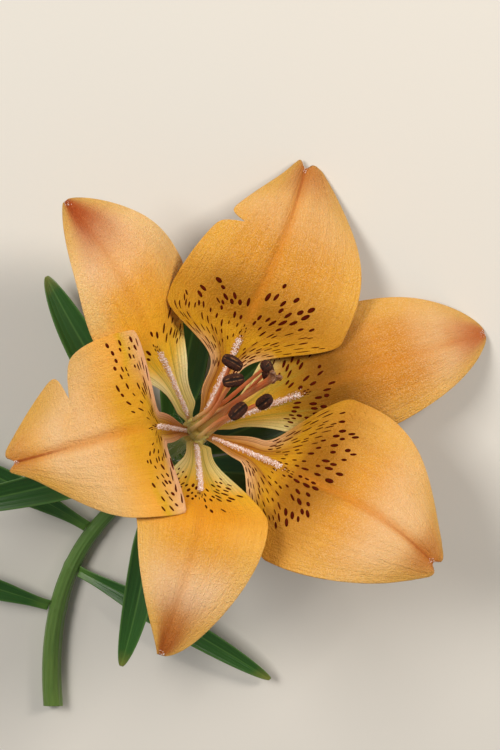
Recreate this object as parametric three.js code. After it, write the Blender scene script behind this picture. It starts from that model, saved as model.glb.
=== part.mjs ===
// A single cut flower of candlestick lily, laid down on a flat surface.
// Six tepals on narrow claws spread from a small receptacle, round six stamens and one pistil.
// The bloom looks up at a slant: it leans on two of its tepals, and its leafy cut stem lies behind it.
// Millimetres, +Z up, the bloom at the +X end of its stem, the resting plane at Z = 0.
import * as THREE from "three";

// How the bloom stands on its stem. Its own axis is +Z in the bloom's group, which is turned as a whole.
const AXIS_ELEVATION = 45; // degrees from the resting plane up to the bloom's axis
const LOW_SIDE = 50.27; // azimuth in the bloom, degrees, that hangs lowest
const BASE_HEIGHT = 27.1; // receptacle above the resting plane

// Tepals. Two numbers in brackets are the left and the right half of a blade, seen from its tip.
// clawEnd, shoulder, widest: parts of the length where the claw ends, where the blade is fully flared
// and where it starts to narrow. flare, taper: how steeply it widens and narrows.
// tilt: lean of the midline from the bloom's axis, in degrees, at the claw, the middle and the tip.
// bend: where along the blade, from 0 to 1, the lean changes. fold: turn of the section up to its
// margin, in degrees, in the claw, the middle and the tip. under: how far a margin is tucked, in mm.
const TEPAL_THICKNESS = 0.8;
const TEPAL_ROWS = 24;
const TEPAL_COLUMNS = 12;
const COLUMN_POWER = 1.5; // above 1, the columns stand closer at the midline than at the margins
const MIDLINE_STEPS = 200;
const FOLD_OPENS = [0.15, 0.42];
const FOLD_CLOSES = [0.45, 0.95];
const TUCK = { from: [0.2, 0.36], to: [0.5, 0.8] };
const GROOVE = { halfWidth: 1.6, from: [0.33, 0.5] };
const TIP_LOBE = { from: [0.88, 1], power: 1.5 };
const NOTCH_POWER = 1.2;
const NOTCH_ROWS = { at: [-2, -1, -0.4, 0, 0.4, 1, 2], apart: 0.01 }; // lengths of the notch, part of the blade
const NECTARY = { height: 0.7, halfWidth: 0.9, from: [0.02, 0.05], to: [0.26, 0.34] };
const OUTER = {
  color: "#e99438", foot: { radius: 3.4, height: -1.9 }, footHalf: 1.3, tipHalf: 0.8,
  clawHalf: [3.2, 3.2], shoulder: [0.5, 0.5], flare: [1, 1], bend: { low: [0.1, 0.5], high: [0.45, 1] },
  fold: [55, -14, -15], clawFold: [0, 0], under: [0, 0], groove: 0.3, lobe: 0, notches: [],
};
const INNER = {
  color: "#f0a13f", foot: { radius: 3.2, height: -1.2 }, footHalf: 1.3, tipHalf: 2.5,
  clawHalf: [4.6, 4.6], shoulder: [0.42, 0.42], flare: [1, 1], bend: { low: [0.1, 0.5], high: [0.45, 1] },
  fold: [70, 6, -25], clawFold: [0, 0], under: [0, 0], groove: 1, lobe: 1.5, notches: [],
};
const TEPALS = [
  { ...OUTER, name: "tepal_outer_left", azimuth: 131.5, length: 65, sway: -0.036, tilt: [54.3, 59.3, 94.3],
    bend: { low: [0.1, 0.5], high: [0.43, 1] }, clawHalf: [3.4, 3.5], clawEnd: [0.08, 0.065],
    shoulder: [0.5, 0.52], flare: [1, 1.6], half: [12.7, 20.8], widest: [0.5, 0.46], taper: [0.83, 0.78],
    sideFold: [1, 0], under: [2.5, 3.8] },
  { ...OUTER, name: "tepal_outer_right", azimuth: 16, length: 74.5, sway: 0.024, tilt: [56.6, 61.7, 98.3],
    clawHalf: [3.8, 3.2], clawEnd: [0.09, 0.09], shoulder: [0.42, 0.49], flare: [0.75, 0.7],
    half: [18.6, 14.9], widest: [0.45, 0.5], taper: [0.66, 0.7], sideFold: [3.5, 0], under: [3, 3] },
  { ...OUTER, name: "tepal_outer_front", azimuth: -104, length: 63.4, sway: -0.003, tilt: [51.5, 54.8, 112],
    bend: { low: [0.1, 0.5], high: [0.39, 0.6] }, clawHalf: [3.9, 3.6], clawEnd: [0.05, 0.06],
    shoulder: [0.47, 0.52], flare: [1.5, 1.05], half: [16.3, 15.1], widest: [0.42, 0.4],
    taper: [0.61, 1.16], sideFold: [40, -12], under: [0, 2] },
  { ...INNER, name: "tepal_inner_back", azimuth: 70.5, length: 69, sway: -0.003, tilt: [54.4, 56.9, 98.7],
    bend: { low: [0.1, 0.5], high: [0.49, 1] }, clawHalf: [4.6, 3.7], clawEnd: [0.13, 0.16],
    shoulder: [0.36, 0.45], flare: [2.5, 1.7], half: [21, 23.4], widest: [0.38, 0.52], taper: [1.1, 0.63],
    clawFold: [-8, -2], sideFold: [-3, 9], notches: [{ side: 0, at: 0.706, depth: 5, length: 0.014 }] },
  { ...INNER, name: "tepal_inner_right", azimuth: -37, length: 66.8, sway: 0.012, tilt: [53.4, 56.8, 105.5],
    clawEnd: [0.2, 0.175], shoulder: [0.42, 0.44], flare: [1.2, 0.87], half: [23.8, 22.6],
    widest: [0.51, 0.47], taper: [0.785, 0.72], clawFold: [-1, -6], sideFold: [4.5, -36] },
  { ...INNER, name: "tepal_inner_left", azimuth: 194, length: 55.3, sway: -0.037, tilt: [43.8, 49, 128],
    bend: { low: [0.1, 0.5], high: [0.26, 0.58] }, clawHalf: [4.6, 3.8], clawEnd: [0.29, 0.28],
    shoulder: [0.36, 0.37], flare: [2.2, 2], half: [22.7, 23.6], widest: [0.35, 0.33], taper: [1.18, 0.72],
    clawFold: [-11, -2], sideFold: [7, 10], notches: [{ side: 1, at: 0.68, depth: 8, length: 0.024 }] },
];

// Stamens: each filament leaves the receptacle in front of its tepal and ends under its anther.
// place: middle of the anther in the bloom. lie: azimuth and elevation of its length, in degrees.
const FILAMENT = {
  rings: [[2.5, 0.4], [2.4, 5], [2.35, 13]], // [distance from the axis, height] where it rises
  radii: [0.6, 0.55, 0.4], seat: 0.3, parts: 12, sides: 8,
};
const ROUND_SIDES = 12; // sides of the anthers and the pistil
const ANTHER = {
  length: 5.2, width: 3.1, depth: 2.4, seam: 0.5, seamTurn: 0.3, plump: 0.7,
  rings: [-0.97, -0.8, -0.45, 0, 0.45, 0.8, 0.97], // from end to end, in half lengths
};
const STAMENS = [
  { tepal: "outer_left", azimuth: 131.5, place: [-6, 4.5, 40], lie: [-28, 0] },
  { tepal: "outer_right", azimuth: 15, place: [4.6, 4.4, 35], lie: [100, 10] },
  { tepal: "outer_front", azimuth: -104, place: [-5.2, -7, 40], lie: [42, 0] },
  { tepal: "inner_back", azimuth: 70.5, place: [1.5, 3.4, 42], lie: [218, 55] },
  { tepal: "inner_right", azimuth: -37, place: [0.4, -5.2, 42], lie: [38, 72] },
  { tepal: "inner_left", azimuth: 194, place: [-7.5, -1, 44], lie: [14, 0] },
];

// Pistil: [height, radius] from the foot of the ovary to the stigma, and where its top leans to.
const PISTIL = {
  profile: [[0.4, 1], [2, 1.3], [9, 1.4], [15, 1.25], [18, 0.85], [24, 0.75], [38, 0.75], [47, 0.85],
    [50, 1]],
  lean: [-0.3, -2], stigma: { height: 51.5, radius: 1.3, thickness: 1.5, rim: 0.9, top: 0.6, lobe: 0.4 },
};

// Stem: receptacle, bent neck, and the run along the resting plane to the slanted cut.
// RECEPTACLE: [depth below the bloom, radius].
const RECEPTACLE = [[0, 2.7], [0.6, 2.6], [2.4, 2.7], [3, 3.7], [3.8, 3.6], [5.5, 2.8], [9, 2.1]];
const STEM = {
  neckRadius: 1.9, narrows: [0, 0.15], cutRadius: 2.7, widens: [0.3, 1],
  straight: 15, bendRadius: 50, lift: 0.3, run: 50, sideways: 24, cutSlant: 0.4,
};
const STEM_SIDES = 14;
const STEM_STEP = 5; // mm between rings

// Leaves: station along the stem from the receptacle, heading in plan from +X, turn of the heading
// along the blade, rise at the foot and at the tip, all in degrees; length and half width in mm.
const LEAF = {
  thickness: 0.6, rows: 16, columns: 4, steps: 60, fold: 32, gap: 0.35,
  footHalf: 1.6, widest: 0.4, tipHalf: 0.35, taper: 0.65,
};
const LEAVES = [
  { at: 24, heading: 26, turn: 4, rise: -4, tip: 2, length: 48, half: 5.8 },
  { at: 24.5, heading: -26, turn: 0, rise: -2, tip: 0, length: 46, half: 5 },
  { at: 26, heading: 75, turn: -6, rise: 6, tip: -8, length: 52, half: 5.4 },
  { at: 27.5, heading: -53, turn: 4, rise: 3, tip: -10, length: 48, half: 6 },
  { at: 30, heading: -3, turn: 0, rise: -2, tip: 1, length: 46, half: 5.4 },
  { at: 28, heading: 136, turn: 10, rise: 34, tip: 0, length: 56, half: 4.4 },
  { at: 28.5, heading: -142, turn: -14, rise: 30, tip: -6, length: 52, half: 4.2 },
  { at: 58, heading: 92, turn: 30, rise: 16, tip: -16, length: 54, half: 3.8 },
  { at: 70, heading: -66, turn: -24, rise: 18, tip: -18, length: 58, half: 3.7 },
  { at: 82, heading: 104, turn: 26, rise: 20, tip: -20, length: 44, half: 3.4 },
];

const radians = THREE.MathUtils.degToRad;
const smooth = THREE.MathUtils.smoothstep;
const mix = THREE.MathUtils.lerp;

// Closed body from rings of points: the rings are joined in order and both ends are capped.
function loft(rings) {
  const sides = rings[0].length;
  const points = rings.flat();
  const index = [];
  for (let i = 0; i + 1 < rings.length; i++) {
    for (let j = 0; j < sides; j++) {
      const a = i * sides + j;
      const b = i * sides + ((j + 1) % sides);
      index.push(a, b, b + sides, a, b + sides, a + sides);
    }
  }
  for (const [ring, flip] of [[0, true], [rings.length - 1, false]]) {
    const middle = points.length;
    points.push(rings[ring].reduce((sum, p) => sum.add(p), new THREE.Vector3()).divideScalar(sides));
    for (let j = 0; j < sides; j++) {
      const a = ring * sides + j;
      const b = ring * sides + ((j + 1) % sides);
      index.push(...(flip ? [middle, b, a] : [middle, a, b]));
    }
  }
  return new THREE.BufferGeometry().setFromPoints(points).setIndex(index);
}

// Direction in the ring across a curve that lies nearest to a reference direction.
function acrossCurve(tangent, reference) {
  return reference.clone().addScaledVector(tangent, -reference.dot(tangent)).normalize();
}

// Rings round a curve at the given parts of its length, 0 to 1. radius(part) is the radius there.
function tube(curve, parts, sides, radius, reference) {
  return loft(parts.map((part) => {
    const centre = curve.getPointAt(part);
    const tangent = curve.getTangentAt(part);
    const first = acrossCurve(tangent, reference);
    const second = tangent.clone().cross(first);
    return Array.from({ length: sides }, (_, j) => {
      const angle = (j / sides) * 2 * Math.PI;
      return centre.clone()
        .addScaledVector(first, Math.cos(angle) * radius(part))
        .addScaledVector(second, Math.sin(angle) * radius(part));
    });
  }));
}

const evenParts = (count) => Array.from({ length: count + 1 }, (_, i) => i / count);

// Closed blade from a grid of points: both faces are offset from the middle surface along its
// normal and split into triangles alike, so that they never cross.
function blade(surface, rows, columns, thickness, relief = () => 0) {
  const step = 1e-3;
  const faces = [[], []];
  for (const t of rows) {
    for (const u of columns) {
      const along = surface(Math.min(t + step, 1), u).sub(surface(Math.max(t - step, 0), u));
      const across = surface(t, Math.min(u + step, 1)).sub(surface(t, Math.max(u - step, -1)));
      const normal = along.cross(across).normalize();
      const middle = surface(t, u);
      faces[0].push(middle.clone().addScaledVector(normal, thickness / 2 + relief(t, u)));
      faces[1].push(middle.clone().addScaledVector(normal, -thickness / 2));
    }
  }
  const [width, height] = [columns.length, rows.length];
  const count = width * height;
  const index = [];
  const quad = (a, b, c, d) => index.push(a, b, c, a, c, d);
  for (let i = 0; i + 1 < height; i++) {
    for (let j = 0; j + 1 < width; j++) {
      const a = i * width + j;
      quad(a, a + width, a + width + 1, a + 1);
      const b = a + count;
      index.push(b, b + width + 1, b + width, b, b + 1, b + width + 1);
    }
  }
  for (let j = 0; j + 1 < width; j++) {
    const last = (height - 1) * width + j;
    quad(j, j + 1, j + 1 + count, j + count);
    quad(last + 1, last, last + count, last + 1 + count);
  }
  for (let i = 0; i + 1 < height; i++) {
    const a = i * width;
    const b = a + width - 1;
    quad(a + width, a, a + count, a + width + count);
    quad(b, b + width, b + width + count, b + count);
  }
  return new THREE.BufferGeometry().setFromPoints([...faces[0], ...faces[1]]).setIndex(index);
}

// Half width of a tepal at t along it, before its notches are cut: claw, flaring blade, narrowing tip.
function tepalHalf(tepal, t, side) {
  const [claw, half, widest] = [tepal.clawHalf[side], tepal.half[side], tepal.widest[side]];
  const flared = smooth(t, tepal.clawEnd[side], tepal.shoulder[side]) ** tepal.flare[side];
  const rising = mix(tepal.footHalf, claw, smooth(t, 0, tepal.clawEnd[side])) + (half - claw) * flared;
  const outward = Math.max(t - widest, 0) / (1 - widest);
  return rising * mix(tepal.tipHalf / half, 1, (1 - outward ** 2) ** tepal.taper[side]);
}

// Depth of the notches in one margin at t along the tepal.
function notchDepth(tepal, t, side) {
  return tepal.notches.filter((notch) => notch.side === side).reduce((sum, notch) => {
    const away = Math.abs((t - notch.at) / notch.length);
    return sum + notch.depth * Math.exp(-(away ** NOTCH_POWER));
  }, 0);
}

// Lean of a tepal's midline from the bloom's axis at t along it, in radians.
function tepalLean({ tilt, bend }, t) {
  const low = mix(tilt[0], tilt[1], smooth(t, ...bend.low));
  return radians(low + (tilt[2] - tilt[1]) * smooth(t, ...bend.high));
}

// Turn of a tepal's section between its midline and one margin at t along it, in radians.
function tepalFold({ fold, clawFold, sideFold }, t, side) {
  const middle = fold[1] + sideFold[side];
  const turn = radians(mix(fold[0] + clawFold[side], middle, smooth(t, ...FOLD_OPENS))
    + (fold[2] - middle) * smooth(t, ...FOLD_CLOSES));
  return Math.abs(turn) < 1e-4 ? 1e-4 : turn;
}

// Middle surface of a tepal in the bloom: t from foot to tip, u from -1 to 1 across.
function tepalSurface(tepal) {
  const azimuth = radians(tepal.azimuth);
  const radial = new THREE.Vector3(Math.cos(azimuth), Math.sin(azimuth), 0);
  const sideways = new THREE.Vector3(-Math.sin(azimuth), Math.cos(azimuth), 0);
  const up = new THREE.Vector3(0, 0, 1);
  const step = tepal.length / MIDLINE_STEPS;
  const midline = [[tepal.foot.radius, tepal.foot.height]];
  for (let i = 1; i <= MIDLINE_STEPS; i++) {
    const angle = tepalLean(tepal, (i - 0.5) / MIDLINE_STEPS);
    const [radius, height] = midline[i - 1];
    midline.push([radius + Math.sin(angle) * step, height + Math.cos(angle) * step]);
  }
  return (t, u) => {
    const side = u >= 0 ? 0 : 1;
    const half = tepalHalf(tepal, t, side);
    const reach = Math.abs(u) * (1 - notchDepth(tepal, t, side) / half);
    const turn = tepalFold(tepal, t, side);
    const tuck = tepal.under[side] * reach ** 2 * smooth(t, ...TUCK.from) * (1 - smooth(t, ...TUCK.to));
    const hollow = Math.exp(-((reach * half / GROOVE.halfWidth) ** 2));
    const groove = tepal.groove * hollow * smooth(t, ...GROOVE.from);
    const across = Math.sign(u) * half * Math.sin(turn * reach) / turn;
    const raised = half * (1 - Math.cos(turn * reach)) / turn - tuck - groove;
    const bulge = 4 * reach ** 2 * (1 - reach ** 2);
    const forward = tepal.lobe * bulge * smooth(t, ...TIP_LOBE.from) ** TIP_LOBE.power;
    const low = Math.min(Math.floor(t * MIDLINE_STEPS), MIDLINE_STEPS - 1);
    const past = t * MIDLINE_STEPS - low;
    const [radius, height] = midline[low].map((value, k) => mix(value, midline[low + 1][k], past));
    const angle = tepalLean(tepal, t);
    return new THREE.Vector3()
      .addScaledVector(radial, radius + forward * Math.sin(angle) - raised * Math.cos(angle))
      .addScaledVector(up, height + forward * Math.cos(angle) + raised * Math.sin(angle))
      .addScaledVector(sideways, tepal.sway * tepal.length * t ** 2 + across);
  };
}

// Rows along a tepal: even steps, with a few more where a notch is.
function tepalRows(tepal) {
  const rows = evenParts(TEPAL_ROWS);
  for (const notch of tepal.notches) {
    const near = NOTCH_ROWS.at.map((k) => notch.at + k * notch.length);
    const kept = rows.filter((t) => near.every((other) => Math.abs(t - other) > NOTCH_ROWS.apart));
    rows.splice(0, rows.length, ...kept, ...near);
  }
  return rows.sort((a, b) => a - b);
}

function tepalGeometry(tepal) {
  const columns = evenParts(TEPAL_COLUMNS).map((part) => 2 * part - 1)
    .map((u) => Math.sign(u) * Math.abs(u) ** COLUMN_POWER);
  const nectary = (t, u) => {
    const away = u * tepalHalf(tepal, t, u >= 0 ? 0 : 1) / NECTARY.halfWidth;
    const along = smooth(t, ...NECTARY.from) * (1 - smooth(t, ...NECTARY.to));
    return NECTARY.height * Math.exp(-(away ** 2)) * along;
  };
  return blade(tepalSurface(tepal), tepalRows(tepal), columns, TEPAL_THICKNESS, nectary);
}

// The anther's own frame: its length, its width and the side that faces away from the filament.
function antherFrame(stamen) {
  const [azimuth, elevation] = stamen.lie.map(radians);
  const length = new THREE.Vector3(
    Math.cos(azimuth) * Math.cos(elevation), Math.sin(azimuth) * Math.cos(elevation), Math.sin(elevation));
  const width = new THREE.Vector3(0, 0, 1).cross(length).normalize();
  return { length, width, out: length.clone().cross(width) };
}

// Anther: a plump barrel of two sacs with a seam along its outer face.
function antherGeometry(stamen) {
  const { length, width, out } = antherFrame(stamen);
  const place = new THREE.Vector3(...stamen.place);
  const rings = ANTHER.rings.map((part) => {
    const plump = Math.sqrt(1 - part ** 2) ** ANTHER.plump;
    return Array.from({ length: ROUND_SIDES }, (_, j) => {
      const angle = (j / ROUND_SIDES) * 2 * Math.PI;
      const seam = ANTHER.seam * Math.exp(-(((angle - Math.PI / 2) / ANTHER.seamTurn) ** 2));
      return place.clone()
        .addScaledVector(length, part * ANTHER.length / 2)
        .addScaledVector(width, Math.cos(angle) * plump * ANTHER.width / 2)
        .addScaledVector(out, (Math.sin(angle) * ANTHER.depth / 2 - seam) * plump);
    });
  });
  return loft(rings);
}

// Filament: rises close round the pistil, then leaves for the underside of its anther.
function filamentGeometry(stamen) {
  const azimuth = radians(stamen.azimuth);
  const seat = new THREE.Vector3(...stamen.place)
    .addScaledVector(antherFrame(stamen).out, -(ANTHER.depth / 2 + FILAMENT.seat));
  const rings = FILAMENT.rings.map(([radius, height]) => new THREE.Vector3(
    Math.cos(azimuth) * radius, Math.sin(azimuth) * radius, height));
  const curve = new THREE.CatmullRomCurve3([...rings, seat]);
  const [low, middle, high] = FILAMENT.radii;
  const radius = (part) => (part < 0.5 ? mix(low, middle, part * 2) : mix(middle, high, part * 2 - 1));
  return tube(curve, evenParts(FILAMENT.parts), FILAMENT.sides, radius, new THREE.Vector3(1, 0, 0));
}

// Pistil: ridged ovary, slender style and a three-lobed stigma, grown as one.
function pistilGeometry() {
  const { profile, lean, stigma } = PISTIL;
  const full = [...profile, [stigma.height - stigma.rim, stigma.radius], [stigma.height, stigma.radius],
    [stigma.height + stigma.thickness / 2, stigma.radius * stigma.top]];
  const rings = full.map(([height, radius]) => Array.from({ length: ROUND_SIDES }, (_, j) => {
    const angle = (j / ROUND_SIDES) * 2 * Math.PI;
    const head = smooth(height, profile.at(-2)[0], stigma.height);
    const reach = radius * (1 + head * stigma.lobe * Math.cos(3 * angle));
    const aside = (height / stigma.height) ** 2;
    return new THREE.Vector3(
      lean[0] * aside + Math.cos(angle) * reach, lean[1] * aside + Math.sin(angle) * reach, height);
  }));
  return loft(rings);
}

// Bloom: every piece on its own axis, then turned and set on the stem as one group.
const bloomTurn = new THREE.Matrix4();
{
  const elevation = radians(AXIS_ELEVATION);
  const low = new THREE.Vector3(Math.sin(elevation), 0, -Math.cos(elevation));
  const axis = new THREE.Vector3(Math.cos(elevation), 0, Math.sin(elevation));
  const level = axis.clone().cross(low);
  const side = radians(LOW_SIDE);
  const x = low.clone().multiplyScalar(Math.cos(side)).addScaledVector(level, -Math.sin(side));
  const y = low.clone().multiplyScalar(Math.sin(side)).addScaledVector(level, Math.cos(side));
  bloomTurn.makeBasis(x, y, axis);
}

function mesh(name, geometry, color, roughness) {
  geometry.computeVertexNormals();
  const piece = new THREE.Mesh(geometry, new THREE.MeshStandardMaterial({ color, roughness, metalness: 0 }));
  piece.name = name;
  return piece;
}

function buildBloom() {
  const bloom = new THREE.Group();
  for (const tepal of TEPALS) bloom.add(mesh(tepal.name, tepalGeometry(tepal), tepal.color, 0.5));
  for (const stamen of STAMENS) {
    bloom.add(mesh(`filament_${stamen.tepal}`, filamentGeometry(stamen), "#c9591c", 0.5));
    bloom.add(mesh(`anther_${stamen.tepal}`, antherGeometry(stamen), "#3d1d10", 0.8));
  }
  bloom.add(mesh("pistil", pistilGeometry(), "#b8632a", 0.5));
  bloom.setRotationFromMatrix(bloomTurn);
  bloom.position.set(0, 0, BASE_HEIGHT);
  return bloom;
}

// Line of the stem from the receptacle down the bent neck and along the resting plane.
function stemCurve() {
  const elevation = radians(AXIS_ELEVATION);
  const back = new THREE.Vector3(-Math.cos(elevation), 0, -Math.sin(elevation));
  const start = new THREE.Vector3(0, 0, BASE_HEIGHT);
  const bendStart = start.clone().addScaledVector(back, STEM.straight);
  const reach = STEM.bendRadius * Math.tan(elevation / 2);
  const corner = bendStart.clone().addScaledVector(back, reach);
  const bendEnd = corner.clone().setX(corner.x - reach);
  bendEnd.z = STEM.neckRadius + STEM.lift;
  corner.z = bendEnd.z;
  const cut = new THREE.Vector3(bendEnd.x - STEM.run, -STEM.sideways, STEM.cutRadius);
  const curve = new THREE.CurvePath();
  curve.add(new THREE.LineCurve3(start, bendStart));
  curve.add(new THREE.QuadraticBezierCurve3(bendStart, corner, bendEnd));
  const turning = new THREE.Vector3(bendEnd.x - STEM.run / 2, 0, STEM.cutRadius);
  curve.add(new THREE.QuadraticBezierCurve3(bendEnd, turning, cut));
  return curve;
}

function stemRadius(curve, part) {
  const depth = part * curve.getLength();
  const neckDepth = RECEPTACLE.at(-1)[0];
  if (depth > neckDepth) {
    const along = (depth - neckDepth) / (curve.getLength() - neckDepth);
    const neck = mix(RECEPTACLE.at(-1)[1], STEM.neckRadius, smooth(along, ...STEM.narrows));
    return mix(neck, STEM.cutRadius, smooth(along, ...STEM.widens));
  }
  const next = RECEPTACLE.findIndex(([d]) => d >= depth - 1e-9);
  if (next === 0) return RECEPTACLE[0][1];
  const [[d0, r0], [d1, r1]] = [RECEPTACLE[next - 1], RECEPTACLE[next]];
  return mix(r0, r1, (depth - d0) / (d1 - d0));
}

function stemGeometry(curve) {
  const length = curve.getLength();
  const depths = RECEPTACLE.map(([depth]) => depth);
  while (depths.at(-1) + STEM_STEP < length - STEM_STEP / 2) depths.push(depths.at(-1) + STEM_STEP);
  const parts = [...depths.map((depth) => depth / length), 1];
  const up = new THREE.Vector3(0, 0, 1);
  const geometry = tube(curve, parts, STEM_SIDES, (part) => stemRadius(curve, part), up);
  const position = geometry.attributes.position;
  const cut = curve.getTangentAt(1);
  const end = curve.getPointAt(1);
  const point = new THREE.Vector3();
  for (let i = (parts.length - 1) * STEM_SIDES; i < parts.length * STEM_SIDES; i++) {
    point.fromBufferAttribute(position, i);
    point.addScaledVector(cut, -(point.z - end.z) * STEM.cutSlant);
    position.setXYZ(i, point.x, point.y, point.z);
  }
  return geometry;
}

// Leaf: a narrow blade, sessile on the stem, that arches out and down towards the resting plane.
function leafGeometry(leaf, curve) {
  const heading = (t) => radians(leaf.heading + leaf.turn * t);
  const rise = (t) => radians(mix(leaf.rise, leaf.tip, t));
  const forward = (t) => new THREE.Vector3(
    Math.cos(rise(t)) * Math.cos(heading(t)), Math.cos(rise(t)) * Math.sin(heading(t)), Math.sin(rise(t)));
  const across = (t) => new THREE.Vector3(-Math.sin(heading(t)), Math.cos(heading(t)), 0);
  const part = leaf.at / curve.getLength();
  const outward = acrossCurve(curve.getTangentAt(part), forward(0));
  const lift = LEAF.gap + LEAF.footHalf * Math.abs(across(0).dot(outward)) + LEAF.thickness / 2;
  const foot = curve.getPointAt(part).addScaledVector(outward, stemRadius(curve, part) + lift);
  const midline = [foot];
  for (let i = 1; i <= LEAF.steps; i++) {
    const step = forward((i - 0.5) / LEAF.steps).multiplyScalar(leaf.length / LEAF.steps);
    midline.push(midline[i - 1].clone().add(step));
  }
  const fold = radians(LEAF.fold);
  const half = (t) => (t < LEAF.widest
    ? mix(LEAF.footHalf, leaf.half, smooth(t, 0, LEAF.widest))
    : mix(LEAF.tipHalf, leaf.half, (1 - ((t - LEAF.widest) / (1 - LEAF.widest)) ** 2) ** LEAF.taper));
  const surface = (t, u) => {
    const low = Math.min(Math.floor(t * LEAF.steps), LEAF.steps - 1);
    const along = across(t);
    const normal = forward(t).cross(along);
    const reach = Math.abs(u);
    return midline[low].clone().lerp(midline[low + 1], t * LEAF.steps - low)
      .addScaledVector(along, Math.sign(u) * half(t) * Math.sin(fold * reach) / fold)
      .addScaledVector(normal, half(t) * (1 - Math.cos(fold * reach)) / fold);
  };
  const columns = evenParts(LEAF.columns).map((part) => 2 * part - 1);
  return blade(surface, evenParts(LEAF.rows), columns, LEAF.thickness);
}

// The whole flower, centred over the resting plane.
function buildFlower() {
  const flower = new THREE.Group();
  const curve = stemCurve();
  flower.add(buildBloom(), mesh("stem", stemGeometry(curve), "#5f7d3a", 0.6));
  LEAVES.forEach((leaf, i) => flower.add(mesh(`leaf_${i + 1}`, leafGeometry(leaf, curve), "#33602a", 0.55)));
  flower.updateMatrixWorld(true);
  const middle = new THREE.Box3().setFromObject(flower, true).getCenter(new THREE.Vector3());
  flower.position.set(-middle.x, -middle.y, 0);
  return flower;
}

export default buildFlower();
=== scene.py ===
"""Candlestick lily flower, cut with its leafy stem and laid on a pale table.

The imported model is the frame. Each of its pieces is replaced here by a finer one of the same
form: tepals with veins, spots and papillose nectaries, grainy anthers, tinted filaments, a ribbed
ovary, and a ribbed leafy stem with woolly hairs. Sizes in the classes are in millimetres, as in
the part's own source, and meshes are in metres.
"""

import logging
import math
from dataclasses import dataclass, replace
from enum import Enum
from functools import reduce

import bpy
import numpy as np
from mathutils import Matrix, Vector


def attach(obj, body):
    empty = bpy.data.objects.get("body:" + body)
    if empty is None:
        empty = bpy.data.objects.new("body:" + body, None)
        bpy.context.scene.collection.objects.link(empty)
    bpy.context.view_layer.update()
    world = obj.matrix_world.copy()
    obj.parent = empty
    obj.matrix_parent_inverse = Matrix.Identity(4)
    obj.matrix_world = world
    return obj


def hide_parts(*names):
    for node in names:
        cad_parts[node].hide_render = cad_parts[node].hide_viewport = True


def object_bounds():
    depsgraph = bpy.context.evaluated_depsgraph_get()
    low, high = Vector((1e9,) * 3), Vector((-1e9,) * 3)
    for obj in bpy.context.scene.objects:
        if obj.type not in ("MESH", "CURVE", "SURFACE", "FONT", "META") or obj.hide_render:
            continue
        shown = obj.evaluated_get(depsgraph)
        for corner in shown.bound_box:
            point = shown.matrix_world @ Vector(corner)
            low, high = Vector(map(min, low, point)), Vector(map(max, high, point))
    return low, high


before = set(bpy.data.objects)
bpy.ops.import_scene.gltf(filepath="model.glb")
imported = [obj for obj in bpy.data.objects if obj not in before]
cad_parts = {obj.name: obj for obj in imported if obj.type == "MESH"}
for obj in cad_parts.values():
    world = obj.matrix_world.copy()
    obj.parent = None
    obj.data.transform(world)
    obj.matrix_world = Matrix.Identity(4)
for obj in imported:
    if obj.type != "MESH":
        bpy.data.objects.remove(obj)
cad_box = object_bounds()

MM = 0.001
BODY = "root"
CLEARANCE = 0.00001
SEWN_WITHIN = 1e-7
SLIVER = 1e-8
TURN = 2 * math.pi
log = logging.getLogger("candlestick_lily")

Array = np.ndarray
Pair = tuple[float, float]
Triple = tuple[float, float, float]
Piece, Material, Tree = bpy.types.Object, bpy.types.Material, bpy.types.NodeTree
Socket = bpy.types.NodeSocket
Value = Socket | float | tuple
Inputs = dict[str | int, Value]
Stop = tuple[float, str]
GroupStart = tuple["Graph", dict[str, Socket], Socket]

NUMBER, VECTOR, COLOR = "NodeSocketFloat", "NodeSocketVector", "NodeSocketColor"
UP: Triple = (0.0, 0.0, 1.0)

ROOM = (np.array(cad_box[0]) + CLEARANCE, np.array(cad_box[1]) - CLEARANCE)


class Slot(Enum):
    """Material slots of the record."""

    OUTER_TEPAL = "outer_tepal"
    INNER_TEPAL = "inner_tepal"
    FILAMENT = "filament"
    ANTHER = "anther"
    PISTIL = "pistil"
    STEM = "stem"
    LEAF = "leaf"


# Curves and directions


def smooth(value: Array, low: float, high: float) -> Array:
    """Eases from 0 at one value to 1 at another."""
    part = np.clip((value - low) / (high - low), 0.0, 1.0)
    return part * part * (3.0 - 2.0 * part)


def mix(first: Array, second: Array, part: Array) -> Array:
    """Goes from the first value to the second as part goes from 0 to 1."""
    return first + (second - first) * part


def unit(vectors: Array) -> Array:
    """Vectors along the last axis, made one unit long."""
    return vectors / np.maximum(np.linalg.norm(vectors, axis=-1, keepdims=True), 1e-12)


def bell(value: Array, middle: float, half: float) -> Array:
    """Bell curve, 1 at its middle."""
    return np.exp(-(((value - middle) / half) ** 2))


def map_of(across: Array, along: Array) -> Array:
    """Map of a piece from the part of the way across and along it."""
    return np.stack(np.broadcast_arrays(across, along), axis=-1)


def catmull_rom(points: Array, count: int = 200) -> Array:
    """Centripetal spline through points, ends included.

    Args:
        points: the places that it passes, one in each row.
        count: places to read along each of its spans.

    Returns:
        Places along the spline.
    """
    ends = [2 * points[0] - points[1], *points, 2 * points[-1] - points[-2]]
    path = [points[:1]]
    for a, b, c, d in zip(ends, ends[1:], ends[2:], ends[3:]):
        steps = [max(np.linalg.norm(q - p) ** 0.5, 1e-4) for p, q in ((a, b), (b, c), (c, d))]
        leave = ((b - a) / steps[0] - (c - a) / (steps[0] + steps[1]) + (c - b) / steps[1]) * steps[1]
        reach = ((c - b) / steps[1] - (d - b) / (steps[1] + steps[2]) + (d - c) / steps[2]) * steps[1]
        t = np.linspace(0, 1, count + 1)[1:, None]
        path.append(b + leave * t + (3 * (c - b) - 2 * leave - reach) * t**2
                    + (2 * (b - c) + leave + reach) * t**3)
    return np.vstack(path)


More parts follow.
